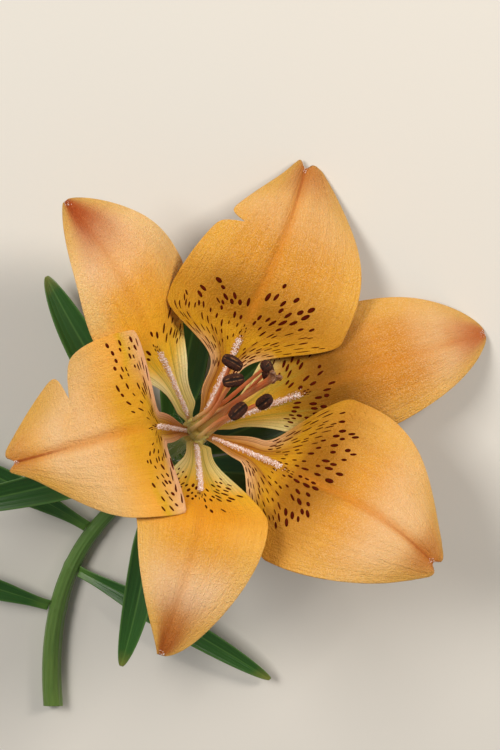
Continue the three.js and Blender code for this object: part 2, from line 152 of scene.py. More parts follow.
@dataclass
class Path:
    """Line through space that is read by the distance along it."""

    STEPS = 400

    points: Array

    def __post_init__(self) -> None:
        """Measures the distance along the line at each of its points."""
        steps = np.linalg.norm(np.diff(self.points, axis=0), axis=1)
        self.distance = np.concatenate([[0.0], np.cumsum(steps)])

    @property
    def length(self) -> float:
        """Whole length of the line."""
        return float(self.distance[-1])

    def at(self, distance: Array) -> Array:
        """Places at the given distances along the line."""
        return np.stack([np.interp(distance, self.distance, self.points[:, k]) for k in range(3)], axis=-1)

    def tangent(self, distance: Array) -> Array:
        """Directions of the line at the given distances along it."""
        step = self.length / self.STEPS
        ahead, behind = np.minimum(distance + step, self.length), np.maximum(distance - step, 0)
        return unit(self.at(ahead) - self.at(behind))

    def frames(self, distance: Array, reference: Triple) -> tuple[Array, Array]:
        """Two directions square to the line, the first nearest to a reference.

        Args:
            distance: where along the line.
            reference: direction that the first one follows.

        Returns:
            The first and the second direction at each place.
        """
        tangent = self.tangent(distance)
        toward = np.broadcast_to(np.array(reference, dtype=float), tangent.shape)
        first = unit(toward - tangent * np.sum(toward * tangent, axis=-1, keepdims=True))
        return first, np.cross(tangent, first)

    def round(self, distance: Array, angle: Array, radius: Array, reference: Triple) -> Array:
        """Finds places round the line.

        Args:
            distance: where along the line each ring is.
            angle: angles of its corners, as one row.
            radius: radius of each ring at each corner, rings by corners.
            reference: direction in which the first corner lies.

        Returns:
            The places, rings by corners.
        """
        first, second = self.frames(distance, reference)
        around = np.cos(angle)[..., None] * first[:, None, :] + np.sin(angle)[..., None] * second[:, None, :]
        return self.at(distance)[:, None, :] + around * radius[..., None]


# Meshes


def deselect_all() -> None:
    """Leaves object mode with nothing selected."""
    if bpy.context.object is not None and bpy.context.object.mode != "OBJECT":
        bpy.ops.object.mode_set(mode="OBJECT")
    bpy.ops.object.select_all(action="DESELECT")


def add_attribute(piece: Piece, name: str, values: Array) -> None:
    """Stores one number for each vertex of a piece, for its material to read."""
    attribute = piece.data.attributes.new(name, "FLOAT", "POINT")
    attribute.data.foreach_set("value", np.asarray(values, dtype=np.float32).ravel())


def face_outwards(sew: bool) -> None:
    """Turns the faces of the active piece outwards and shades it smooth.

    Args:
        sew: whether what meets is sewn first.
    """
    bpy.ops.object.mode_set(mode="EDIT")
    bpy.ops.mesh.select_all(action="SELECT")
    if sew:
        bpy.ops.mesh.remove_doubles(threshold=SEWN_WITHIN)
        bpy.ops.mesh.dissolve_degenerate(threshold=SLIVER)
        bpy.ops.mesh.select_all(action="SELECT")
    bpy.ops.mesh.normals_make_consistent(inside=False)
    bpy.ops.object.mode_set(mode="OBJECT")
    bpy.ops.object.shade_smooth()


def sewn_grid(
        name: str, points: Array, pattern: Array, facts: dict[str, Array] | None = None) -> Piece:
    """Lays a grid on a table of points, sews what meets, and turns its faces outwards.

    Args:
        name: name of the piece.
        points: places in metres, rows by columns.
        pattern: the piece's own map, rows by columns: across, then along.
        facts: numbers for each point that the material reads, by name.

    Returns:
        The closed piece, at the origin.
    """
    rows, columns = points.shape[:2]
    deselect_all()
    bpy.ops.mesh.primitive_grid_add(x_subdivisions=columns - 1, y_subdivisions=rows - 1, size=2)
    piece = bpy.context.object
    piece.name = name
    mesh = piece.data
    mesh.name = name
    corner = np.empty(len(mesh.loops), dtype=np.int32)
    mesh.loops.foreach_get("vertex_index", corner)
    mesh.uv_layers.active.uv.foreach_set("vector", pattern.reshape(-1, 2)[corner].astype(np.float32).ravel())
    mesh.vertices.foreach_set("co", points.astype(np.float32).ravel())
    for fact, values in (facts or {}).items():
        add_attribute(piece, fact, values)
    face_outwards(sew=True)
    return piece


def copies(name: str, template: Piece, places: Array) -> Piece:
    """Copies a modelled template to many places, as one piece, and removes the template.

    Args:
        name: name of the piece.
        template: the small shape that repeats.
        places: where each copy's vertices go, copies by vertices, in metres.

    Returns:
        The piece, at the origin.
    """
    count, size = places.shape[:2]
    source = template.data
    faces = [list(face.vertices) for face in source.polygons]
    mesh = bpy.data.meshes.new(name)
    mesh.from_pydata(
        places.reshape(-1, 3).tolist(), [],
        [[corner + copy * size for corner in face] for copy in range(count) for face in faces])
    mesh.update()
    piece = bpy.data.objects.new(name, mesh)
    bpy.context.collection.objects.link(piece)
    bpy.data.objects.remove(template)
    deselect_all()
    piece.select_set(True)
    bpy.context.view_layer.objects.active = piece
    face_outwards(sew=False)
    return piece


def add_ball() -> Piece:
    """Models a coarse ball, one unit in radius, for use as a template."""
    deselect_all()
    bpy.ops.mesh.primitive_ico_sphere_add(subdivisions=1, radius=1)
    return bpy.context.object


def vertices_of(piece: Piece) -> Array:
    """Reads where a piece's vertices are.

    Args:
        piece: the mesh.

    Returns:
        Their places, one in each row.
    """
    place = np.empty(len(piece.data.vertices) * 3, dtype=np.float32)
    piece.data.vertices.foreach_get("co", place)
    return place.reshape(-1, 3).astype(float)


def finish_piece(piece: Piece, material: Material, slot: Slot, *nodes: str) -> None:
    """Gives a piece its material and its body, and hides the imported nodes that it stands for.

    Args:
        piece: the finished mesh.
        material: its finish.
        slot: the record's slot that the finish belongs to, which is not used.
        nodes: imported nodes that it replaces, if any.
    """
    piece.data.materials.clear()
    piece.data.materials.append(material)
    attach(piece, BODY)
    if nodes:
        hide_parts(*nodes)
    log.info("%s: %d faces", piece.name, len(piece.data.polygons))


# Materials


def rgb(code: str) -> tuple[float, float, float, float]:
    """Turns a screen colour into a linear one.

    Args:
        code: the colour, written as #rrggbb.

    Returns:
        Red, green, blue and a full alpha.
    """
    parts = [int(code[i:i + 2], 16) / 255 for i in (1, 3, 5)]
    linear = [c / 12.92 if c <= 0.04045 else ((c + 0.055) / 1.055) ** 2.4 for c in parts]
    return (*linear, 1.0)


class Graph:
    """Node tree that is wired by calls, each of which gives an output socket."""

    def __init__(self, tree: Tree) -> None:
        """Starts on a tree that holds no node yet."""
        self.tree = tree

    def node(self, kind: str, inputs: Inputs | None = None, **settings: object) -> bpy.types.Node:
        """Adds a node.

        Args:
            kind: the node's type.
            inputs: what its inputs get, by name or place.
            settings: its own options.

        Returns:
            The new node.
        """
        made = self.tree.nodes.new(kind)
        for option, value in settings.items():
            setattr(made, option, value)
        for key, value in (inputs or {}).items():
            self.feed(made.inputs[key], value)
        return made

    def feed(self, target: Socket, value: Value) -> None:
        """Links a socket into an input, or sets the input to a constant.

        Args:
            target: the input.
            value: an output socket, or the constant.
        """
        if isinstance(value, Socket):
            self.tree.links.new(value, target)
        else:
            target.default_value = value

    def math(self, operation: str, first: Value, second: Value = 0.0) -> Socket:
        """Works out one arithmetic step."""
        return self.node("ShaderNodeMath", {0: first, 1: second}, operation=operation).outputs[0]

    def times(self, *factors: Value) -> Socket:
        """Multiplies two or more values."""
        return reduce(lambda product, factor: self.math("MULTIPLY", product, factor), factors)

    def plus(self, *terms: Value) -> Socket:
        """Adds up two or more values."""
        return reduce(lambda total, term: self.math("ADD", total, term), terms)

    def ease(self, value: Value, span: Pair, start: float = 0.0, end: float = 1.0) -> Socket:
        """Eases from one number to another.

        Args:
            value: where the curve is read.
            span: value at which it leaves the first number, and value at which it reaches the second.
            start: the first number.
            end: the second number.

        Returns:
            The eased number.
        """
        made = self.node("ShaderNodeMapRange", {
            "Value": value, "From Min": span[0], "From Max": span[1], "To Min": start, "To Max": end},
            interpolation_type="SMOOTHSTEP")
        return made.outputs["Result"]

    def mix(self, factor: Value, first: Value, second: Value, blend: str = "MIX") -> Socket:
        """Blends two colours."""
        inputs = {0: factor, 6: first, 7: second}
        return self.node("ShaderNodeMix", inputs, data_type="RGBA", blend_type=blend).outputs[2]

    def paint(self, color: Value, mask: Value, code: str) -> Socket:
        """Lays a screen colour over a colour where a mask is above 0."""
        return self.mix(mask, color, rgb(code))

    def ramp(self, factor: Value, stops: tuple[Stop, ...]) -> Socket:
        """Reads a colour ramp.

        Args:
            factor: where it is read.
            stops: place and screen colour of each stop.

        Returns:
            The colour there.
        """
        made = self.node("ShaderNodeValToRGB", {0: factor})
        elements = made.color_ramp.elements
        while len(elements) < len(stops):
            elements.new(0.5)
        for element, (place, code) in zip(elements, stops):
            element.position = place
            element.color = rgb(code)
        return made.outputs["Color"]

    def noise(self, vector: Value, scale: Value, detail: float = 2.0, rough: float = 0.5) -> Socket:
        """Reads a cloud of values round 0.5."""
        inputs = {"Vector": vector, "Scale": scale, "Detail": detail, "Roughness": rough}
        return self.node("ShaderNodeTexNoise", inputs).outputs[0]

    def attribute(self, name: str) -> Socket:
        """Reads a number that the mesh holds for each vertex."""
        return self.node("ShaderNodeAttribute", attribute_name=name).outputs["Fac"]

    def pattern(self) -> tuple[Socket, Socket, Socket]:
        """Reads the piece's own map.

        Returns:
            The whole map, the part of the way across it and the part of the way along it.
        """
        whole = self.node("ShaderNodeUVMap", uv_map="UVMap").outputs["UV"]
        parts = self.node("ShaderNodeSeparateXYZ", {0: whole})
        return whole, parts.outputs["X"], parts.outputs["Y"]

    def from_middle(self, across: Value) -> Socket:
        """Turns the part of the way across into the distance from the middle, 0 to 1 at a margin."""
        return self.math("ABSOLUTE", self.math("SUBTRACT", self.times(across, 2.0), 1.0))

    def place(self) -> Socket:
        """Reads places on the piece, in metres."""
        return self.node("ShaderNodeTexCoord").outputs["Object"]

    def group(self, tree: Tree, inputs: Inputs) -> Socket:
        """Places a shared effect.

        Args:
            tree: the effect's node group.
            inputs: what its inputs get, by name.

        Returns:
            What it puts out.
        """
        made = self.tree.nodes.new("ShaderNodeGroup")
        made.node_tree = tree
        for key, value in inputs.items():
            self.feed(made.inputs[key], value)
        return made.outputs[0]


class Effects:
    """Surface effects that several materials share, each a node group built once."""

    STREAK_SPAN = (0.33, 0.67)
    CLOUD_SPAN = (0.35, 0.7)
    SWELL_SCALE = 0.35

    def __init__(self) -> None:
        """Builds the groups."""
        self.veins = self.build_veins()
        self.grain = self.build_grain()
        self.mottle = self.build_mottle()

    @staticmethod
    def start(name: str, inputs: dict[str, tuple[str, float]], output: str, kind: str) -> GroupStart:
        """Opens a group.

        Args:
            name: name of the group.
            inputs: kind and starting value of each input, by name.
            output: name of what it puts out.
            kind: kind of what it puts out.

        Returns:
            Its graph, its inputs by name and the socket that its result goes into.
        """
        tree = bpy.data.node_groups.new(name, "ShaderNodeTree")
        for title, (input_kind, value) in inputs.items():
            socket = tree.interface.new_socket(name=title, in_out="INPUT", socket_type=input_kind)
            if input_kind == NUMBER:
                socket.default_value = value
        tree.interface.new_socket(name=output, in_out="OUTPUT", socket_type=kind)
        entry = tree.nodes.new("NodeGroupInput")
        leave = tree.nodes.new("NodeGroupOutput")
        return Graph(tree), {title: entry.outputs[title] for title in inputs}, leave.inputs[output]

    def build_veins(self) -> Tree:
        """Wires streaks that run along a blade, closer together where it is narrow.

        Returns:
            The group.
        """
        graph, given, result = self.start("blade_veins", {
            "Map": (VECTOR, 0.0), "Lines": (NUMBER, 60.0), "Length": (NUMBER, 3.0)}, "Streaks", NUMBER)
        parts = graph.node("ShaderNodeSeparateXYZ", {0: given["Map"]})
        across = graph.times(parts.outputs["X"], given["Lines"])
        along = graph.times(parts.outputs["Y"], given["Length"])
        drawn = graph.node("ShaderNodeCombineXYZ", {"X": across, "Y": along}).outputs[0]
        graph.feed(result, graph.ease(graph.noise(drawn, 1.0, 3.0, 0.55), self.STREAK_SPAN))
        return graph.tree

    def build_grain(self) -> Tree:
        """Wires the fine cells of a living surface, with a slower unevenness under them.

        Returns:
            The group.
        """
        graph, given, result = self.start("cell_grain", {
            "Place": (VECTOR, 0.0), "Scale": (NUMBER, 2500.0)}, "Height", NUMBER)
        cells = graph.node("ShaderNodeTexVoronoi", {"Vector": given["Place"], "Scale": given["Scale"]})
        swell = graph.noise(given["Place"], graph.times(given["Scale"], self.SWELL_SCALE), 3.0)
        fine = graph.math("SUBTRACT", 1.0, cells.outputs["Distance"])
        graph.feed(result, graph.plus(graph.times(fine, 0.5), graph.times(swell, 0.5)))
        return graph.tree

    def build_mottle(self) -> Tree:
        """Wires a cloudy change from one colour towards another.

        Returns:
            The group.
        """
        graph, given, result = self.start("mottle", {
            "Place": (VECTOR, 0.0), "Scale": (NUMBER, 100.0), "Amount": (NUMBER, 0.3),
            "Base": (COLOR, 0.0), "Other": (COLOR, 0.0)}, "Color", COLOR)
        cloud = graph.ease(graph.noise(given["Place"], given["Scale"], 4.0), self.CLOUD_SPAN)
        graph.feed(result, graph.mix(graph.times(cloud, given["Amount"]), given["Base"], given["Other"]))
        return graph.tree


@dataclass(frozen=True)
class Shine:
    """How a surface takes light: constants of its shader."""

    roughness: float = 0.5
    specular: float = 0.5
    specular_tint: str = "#ffffff"
    subsurface: float = 0.0
    subsurface_depth: float = 0.001
    subsurface_reach: Triple = (1.0, 0.45, 0.18)
    bump_distance: float = 0.0001
    bump_strength: float = 0.5

    def shader(self, graph: Graph, color: Value, height: Value, roughness: Value | None = None) -> None:
        """Adds the shader and the output to a material.

        Args:
            graph: the material's graph.
            color: its base colour.
            height: relief for its bump, from 0 to 1.
            roughness: varying roughness, or None for the constant one.
        """
        bump = graph.node("ShaderNodeBump", {
            "Height": height, "Distance": self.bump_distance, "Strength": self.bump_strength})
        shader = graph.node("ShaderNodeBsdfPrincipled", {
            "Base Color": color, "Roughness": self.roughness if roughness is None else roughness,
            "Specular IOR Level": self.specular, "Specular Tint": rgb(self.specular_tint),
            "Subsurface Weight": self.subsurface, "Subsurface Radius": self.subsurface_reach,
            "Subsurface Scale": self.subsurface_depth, "Normal": bump.outputs["Normal"]})
        graph.node("ShaderNodeOutputMaterial", {"Surface": shader.outputs["BSDF"]})


def new_material(name: str) -> tuple[Material, Graph]:
    """Opens a material with an empty node tree.

    Args:
        name: name of the material.

    Returns:
        The material and its graph.
    """
    material = bpy.data.materials.new(name)
    material.use_nodes = True
    material.node_tree.nodes.clear()
    return material, Graph(material.node_tree)


@dataclass(frozen=True)
class TepalZones:
    """Where every tepal's colours change.

    A place along is a part of the way from foot to tip. A place across is a part of the way from the
    middle to the margin, or a distance from the midrib in millimetres where its name says beside.
    """

    cloud_scale: float = 90.0
    drift_along: float = 0.09
    drift_across: float = 0.4
    claw: float = 0.17
    throat: float = 0.27
    mid_throat: float = 0.33
    deep: Pair = (0.385, 0.46)
    blade: float = 0.6
    wing_ease: Pair = (0.05, 0.08)
    fringe: float = 0.44
    margin: float = 0.58
    margin_across: Pair = (0.3, 0.95)
    vein_length: float = 2.5
    vein_strength: float = 0.14
    claw_veins: Pair = (26.0, 1.5)
    claw_veins_along: Pair = (0.24, 0.42)
    # Painted highlights: a cloudy satin sheen in the middle of the blade and fine bright glints over it.
    painted_sheen_ease: Pair = (0.22, 0.13)
    painted_sheen_left: float = 0.25
    painted_sheen_cloud_scale: float = 60.0
    painted_sheen_cloud: Pair = (0.3, 0.62)
    painted_sheen_across: Pair = (0.45, 1.0)
    painted_sheen_at_margin: float = 0.4
    painted_glint_scale: float = 3400.0
    painted_glint_span: Pair = (0.46, 0.7)
    painted_glint_strength: float = 0.42
    painted_glint_along: Pair = (0.4, 0.7)
    gold_across: Pair = (0.2, 0.9)
    gold_strength: Pair = (0.2, 0.7)
    rib_beside: Pair = (0.2, 2.4)
    rib_along: Pair = (0.34, 0.46)
    streak_beside: Pair = (0.1, 0.7)
    streak_along: Pair = (0.66, 0.92)
    blush_full: float = 0.96
    blush_at_margin: float = 0.05
    ground_beside: Pair = (0.4, 1.0)
    ground_along: Pair = (0.24, 0.31)
    ground_strength: float = 0.8
    end_rises: Pair = (0.24, 0.29)
    end_falls: Pair = (0.32, 0.37)
    end_beside: Pair = (0.3, 1.2)
    end_strength: float = 0.4
    under_rib: float = 0.12
    under_strength: float = 0.75


ZONES = TepalZones()


@dataclass(frozen=True)
class TepalMap:
    """What a tepal's material reads from its surface."""

    whole: Socket
    along: Socket
    place: Socket
    from_middle: Socket
    beside: Socket
    drifted_along: Socket
    drifted_across: Socket

    @classmethod
    def read(cls, graph: Graph) -> "TepalMap":
        """Reads the map, the places and the clouds that make the zones' limits uneven.

        Args:
            graph: the material's graph.

        Returns:
            What was read.
        """
        whole, across, along = graph.pattern()
        from_middle = graph.from_middle(across)
        beside = graph.math("ABSOLUTE", graph.attribute("Across"))
        place = graph.place()
        cloud = graph.math("SUBTRACT", graph.noise(place, ZONES.cloud_scale, 3.0), 0.5)
        return cls(whole, along, place, from_middle, beside,
                   graph.plus(along, graph.times(cloud, ZONES.drift_along)),
                   graph.plus(from_middle, graph.times(cloud, ZONES.drift_across)))


@dataclass(frozen=True)
class TepalFinish:
    """Colours of a tepal from its claw to its tip, down the middle and along the margin."""

    claw: str
    claw_margin: str
    claw_vein: str
    throat: str
    mid_throat: str
    deep: str
    blade: str
    margin: str
    blush: str
    blush_from: float
    blush_amount: float
    fringe: str
    vein_amount: float = 0.75
    wing: float = 0.24
    # Painted highlights: strength, place and colour of the painted sheen, and colour of the painted glints.
    painted_sheen: float = 0.6
    painted_sheen_span: Pair = (0.52, 0.82)
    pale: str = "#f8d0a2"
    painted_glint: str = "#ffe4bc"
    tip_margin: str = "#dcaa50"
    gold: Pair = (0.72, 0.95)
    streak: float = 0.5
    rib: float = 0.5
    blush_across: Pair = (0.3, 1.0)
    midrib: str = "#d9851f"
    ground: str = "#d8986a"
    nectary_end: str = "#7d3416"
    vein: str = "#d08a3a"
    underside: str = "#e3a860"
    underside_rib: str = "#b9a65a"
    lines: float = 80.0
    cell_scale: float = 2600.0
    cell_span: Pair = (0.2, 0.8)
    roughness: Pair = (0.3, 0.45)
    shine: Shine = Shine(specular=0.6, specular_tint="#ffcf94", subsurface=0.12,
                         bump_distance=0.00055, bump_strength=0.9)

    def material(self, name: str, effects: Effects) -> Material:
        """Builds the finish of one tepal.

        Args:
            name: name of the material.
            effects: the shared effects.

        Returns:
            The material.
        """
        material, graph = new_material(name)
        seen = TepalMap.read(graph)
        color = self.with_veins(graph, effects, self.ramps(graph, seen), seen)
        # Painted highlights: the satin sheen and its glints.
        color = self.with_painted_sheen(graph, color, seen)
        color = self.with_blush(graph, color, seen)
        color = self.with_nectary(graph, color, seen)
        below = graph.ramp(seen.from_middle, (
            (0.0, self.underside_rib), (ZONES.under_rib, self.underside), (1.0, self.underside)))
        color = graph.mix(graph.times(graph.attribute("Under"), ZONES.under_strength), color, below)
        cells = graph.group(effects.grain, {"Place": seen.place, "Scale": self.cell_scale})
        self.shine.shader(graph, color, self.height(graph, effects, seen, cells),
                          graph.ease(cells, self.cell_span, *self.roughness))
        return material

    def ramps(self, graph: Graph, seen: TepalMap) -> Socket:
        """Colours the tepal from foot to tip, one way down its middle and another along its margin.

        Args:
            graph: the material's graph.
            seen: what it reads from the surface.

        Returns:
            The colour.
        """
        middle = graph.ramp(seen.drifted_along, (
            (0.0, self.claw), (ZONES.claw, self.claw), (ZONES.throat, self.throat),
            (ZONES.mid_throat, self.mid_throat),
            (ZONES.deep[0], self.deep), (ZONES.deep[1], self.deep), (ZONES.blade, self.blade)))
        margin = graph.ramp(seen.drifted_along, (
            (0.0, self.claw), (self.wing - ZONES.wing_ease[0], self.claw_margin),
            (self.wing, self.claw_margin), (self.wing + ZONES.wing_ease[1], self.throat),
            (ZONES.fringe, self.fringe), (ZONES.margin, self.margin)))
        return graph.mix(graph.ease(seen.drifted_across, ZONES.margin_across), middle, margin)

    def with_veins(self, graph: Graph, effects: Effects, color: Value, seen: TepalMap) -> Socket:
        """Draws the veins: clear ones on the claw, faint ones on the blade.

        Args:
            graph: the material's graph.
            effects: the shared effects.
            color: the colour under the veins.
            seen: what it reads from the surface.

        Returns:
            The colour with the veins.
        """
        fine = graph.group(effects.veins, {
            "Map": seen.whole, "Lines": self.lines, "Length": ZONES.vein_length})
        color = graph.mix(graph.times(fine, ZONES.vein_strength), color, rgb(self.vein), "MULTIPLY")
        lines, length = ZONES.claw_veins
        broad = graph.group(effects.veins, {"Map": seen.whole, "Lines": lines, "Length": length})
        fading = graph.ease(seen.along, ZONES.claw_veins_along, self.vein_amount, 0.0)
        return graph.paint(color, graph.times(graph.math("POWER", broad, 2.0), fading), self.claw_vein)

    def with_painted_sheen(self, graph: Graph, color: Value, seen: TepalMap) -> Socket:
        """Paints a cloudy satin sheen over the middle of the blade and scatters bright glints over it, both
        painted highlights.

        Args:
            graph: the material's graph.
            color: the colour under the painted sheen.
            seen: what it reads from the surface.

        Returns:
            The colour with the painted sheen and glints.
        """
        (rise, fall), (rising, falling) = self.painted_sheen_span, ZONES.painted_sheen_ease
        clouds = graph.ease(graph.noise(seen.place, ZONES.painted_sheen_cloud_scale), ZONES.painted_sheen_cloud, 0.5, 1.0)
        painted_sheen = graph.times(
            graph.ease(seen.along, (rise, rise + rising)),
            graph.ease(seen.along, (fall, fall + falling), 1.0, ZONES.painted_sheen_left), clouds,
            graph.ease(seen.drifted_across, ZONES.painted_sheen_across, self.painted_sheen, self.painted_sheen * ZONES.painted_sheen_at_margin))
        # Painted highlight: the sheen in the pale colour, then bright glints where the fine cloud peaks.
        color = graph.paint(color, painted_sheen, self.pale)
        grain = graph.noise(seen.place, ZONES.painted_glint_scale, 3.0, 0.7)
        painted_glints = graph.ease(grain, ZONES.painted_glint_span, 0.0, ZONES.painted_glint_strength)
        return graph.paint(color, graph.times(painted_glints, graph.ease(seen.along, ZONES.painted_glint_along)), self.painted_glint)

    def with_blush(self, graph: Graph, color: Value, seen: TepalMap) -> Socket:
        """Tints the tip: golden margins, midrib, a streak along it and the red flush.

        Args:
            graph: the material's graph.
            color: the colour under the tints.
            seen: what it reads from the surface.

        Returns:
            The tinted colour.
        """
        gold = graph.times(graph.ease(seen.along, self.gold),
                           graph.ease(seen.drifted_across, ZONES.gold_across, *ZONES.gold_strength))
        color = graph.paint(color, gold, self.tip_margin)
        rib = graph.times(graph.ease(seen.beside, ZONES.rib_beside, 1.0, 0.0),
                          graph.ease(seen.along, ZONES.rib_along), self.rib)
        color = graph.paint(color, rib, self.midrib)
        streak = graph.times(graph.ease(seen.beside, ZONES.streak_beside, self.streak, 0.0),
                             graph.ease(seen.along, ZONES.streak_along))
        color = graph.paint(color, streak, self.blush)
        flush = graph.times(
            graph.ease(seen.drifted_along, (self.blush_from, ZONES.blush_full)),
            graph.ease(seen.drifted_across, self.blush_across, 1.0, ZONES.blush_at_margin),
            self.blush_amount)
        return graph.paint(color, flush, self.blush)

    def with_nectary(self, graph: Graph, color: Value, seen: TepalMap) -> Socket:
        """Tints the ground of the nectary and darkens the place where it ends.

        Args:
            graph: the material's graph.
            color: the colour under the nectary.
            seen: what it reads from the surface.

        Returns:
            The tinted colour.
        """
        band = graph.times(graph.ease(seen.beside, ZONES.ground_beside, ZONES.ground_strength, 0.0),
                           graph.ease(seen.along, ZONES.ground_along, 1.0, 0.0))
        color = graph.paint(color, band, self.ground)
        end = graph.times(graph.ease(seen.along, ZONES.end_rises),
                          graph.ease(seen.along, ZONES.end_falls, 1.0, 0.0),
                          graph.ease(seen.beside, ZONES.end_beside, ZONES.end_strength, 0.0))
        return graph.paint(color, end, self.nectary_end)

    def height(self, graph: Graph, effects: Effects, seen: TepalMap, cells: Value) -> Socket:
        """Adds up the relief: cells, crepe, fine creases along the veins and broader ripples.

        Args:
            graph: the material's graph.
            effects: the shared effects.
            seen: what it reads from the surface.
            cells: height of the cells.

        Returns:
            The relief.
        """
        crease = graph.group(effects.veins, {"Map": seen.whole, "Lines": self.lines, "Length": 24.0})
        ripple = graph.group(effects.veins, {"Map": seen.whole, "Lines": self.lines * 0.3, "Length": 60.0})
        crepe = graph.noise(seen.place, 2500.0, 4.0, 0.6)
        return graph.plus(graph.times(cells, 0.4), graph.times(crepe, 0.9), graph.times(crease, 0.22),
                          graph.times(ripple, 0.15))


@dataclass(frozen=True)
class PlainFinish:
    """Cloudy two-tone finish with a cell grain, for small bodies."""

    base: str
    other: str
    shine: Shine = Shine()
    cloud: float = 900.0
    amount: float = 0.6
    grain: float = 5000.0

    def material(self, name: str, effects: Effects) -> Material:
        """Builds the finish.

        Args:
            name: name of the material.
            effects: the shared effects.

        Returns:
            The material.
        """
        material, graph = new_material(name)
        place = graph.place()
        color = graph.group(effects.mottle, {
            "Place": place, "Scale": self.cloud, "Amount": self.amount, "Base": rgb(self.base),
            "Other": rgb(self.other)})
        height = graph.group(effects.grain, {"Place": place, "Scale": self.grain})
        self.shine.shader(graph, color, height)
        return material


@dataclass(frozen=True)
class AlongFinish:
    """Finish whose colour changes from the foot of a piece to its tip, with fine lines along it."""

    stops: tuple[Stop, ...]
    line: str
    shine: Shine = Shine()
    lines: float = 24.0
    length: float = 4.0
    line_amount: float = 0.3
    edge: str = ""
    edge_span: Pair = (0.8, 1.0)
    edge_amount: float = 0.6
    keel_span: Pair = (0.0, 0.1)
    keel_amount: float = 0.55
    cut: tuple[str, str] = ("", "")
    cut_span: Pair = (0.1, 0.4)
    pith_scale: float = 2600.0
    pith_span: Pair = (0.45, 0.6)
    cloud_scale: float = 250.0
    drift: float = 0.08
    cell_scale: float = 3600.0

    def material(self, name: str, effects: Effects) -> Material:
        """Builds the finish.

        Args:
            name: name of the material.
            effects: the shared effects.

        Returns:
            The material.
        """
        material, graph = new_material(name)
        whole, across, along = graph.pattern()
        place = graph.place()
        cloud = graph.math("SUBTRACT", graph.noise(place, self.cloud_scale, 3.0), 0.5)
        color = graph.ramp(graph.plus(along, graph.times(cloud, self.drift)), self.stops)
        streaks = graph.group(effects.veins, {"Map": whole, "Lines": self.lines, "Length": self.length})
        color = graph.paint(color, graph.times(streaks, self.line_amount), self.line)
        if self.edge:
            reach = graph.from_middle(across)
            color = graph.paint(color, graph.ease(reach, self.edge_span, 0.0, self.edge_amount), self.edge)
            color = graph.paint(color, graph.ease(reach, self.keel_span, self.keel_amount, 0.0), self.edge)
        if self.cut[0]:
            cells = graph.ease(graph.noise(place, self.pith_scale, 2.0), self.pith_span)
            pith = graph.mix(cells, rgb(self.cut[0]), rgb(self.cut[1]))
            color = graph.mix(graph.ease(graph.attribute("Cut"), self.cut_span), color, pith)
        cells = graph.group(effects.grain, {"Place": place, "Scale": self.cell_scale})
        self.shine.shader(graph, color, graph.plus(graph.times(streaks, 0.6), graph.times(cells, 0.4)))
        return material


@dataclass(frozen=True)
class AntherFinish:
    """Pollen sacs with a pale broken line along the seam down the outer face, and painted shade in their
    slits and furrows.
    """

    sac: str = "#401c0b"
    dark: str = "#160803"
    seam: str = "#a06a40"
    cloud: float = 1800.0
    amount: float = 0.8
    seam_kept_scale: float = 900.0
    seam_kept_span: Pair = (0.44, 0.6)
    grain: float = 6000.0
    shine: Shine = Shine(roughness=0.75, specular=0.3, bump_distance=0.0002, bump_strength=0.9)

    def material(self, name: str, effects: Effects) -> Material:
        """Builds the finish.

        Args:
            name: name of the material.
            effects: the shared effects.

        Returns:
            The material.
        """
        material, graph = new_material(name)
        place = graph.place()
        color = graph.group(effects.mottle, {
            "Place": place, "Scale": self.cloud, "Amount": self.amount, "Base": rgb(self.sac),
            "Other": rgb(self.dark)})
        # Painted shade: the slits, the back furrow and the seam are darkened towards near black.
        color = graph.paint(color, graph.attribute("GrooveShade"), self.dark)
        seam_kept = graph.ease(graph.noise(place, self.seam_kept_scale, 3.0), self.seam_kept_span)
        color = graph.paint(color, graph.times(graph.attribute("Seam"), seam_kept), self.seam)
        height = graph.group(effects.grain, {"Place": place, "Scale": self.grain})
        self.shine.shader(graph, color, height)
        return material


# Where the bloom stands


@dataclass(frozen=True)
class BloomStand:
    """How the bloom is set on its stem, as in the part's source."""

    base: Triple = (18.167, 1.37, 27.1)
    axis_elevation: float = 45.0
    low_side: float = 50.27

    def turn(self) -> Array:
        """Turns bloom directions into the row's: its columns are the bloom's own x, y and axis."""
        elevation, side = math.radians(self.axis_elevation), math.radians(self.low_side)
        low = np.array([math.sin(elevation), 0.0, -math.cos(elevation)])
        axis = np.array([math.cos(elevation), 0.0, math.sin(elevation)])
        level = np.cross(axis, low)
        return np.stack([
            low * math.cos(side) - level * math.sin(side),
            low * math.sin(side) + level * math.cos(side), axis], axis=1)

    def place(self, points: Array) -> Array:
        """Takes places in the bloom's millimetres to the row's metres."""
        return (points @ self.turn().T + np.array(self.base)) * MM


STAND = BloomStand()


# Blades: tepals and leaves


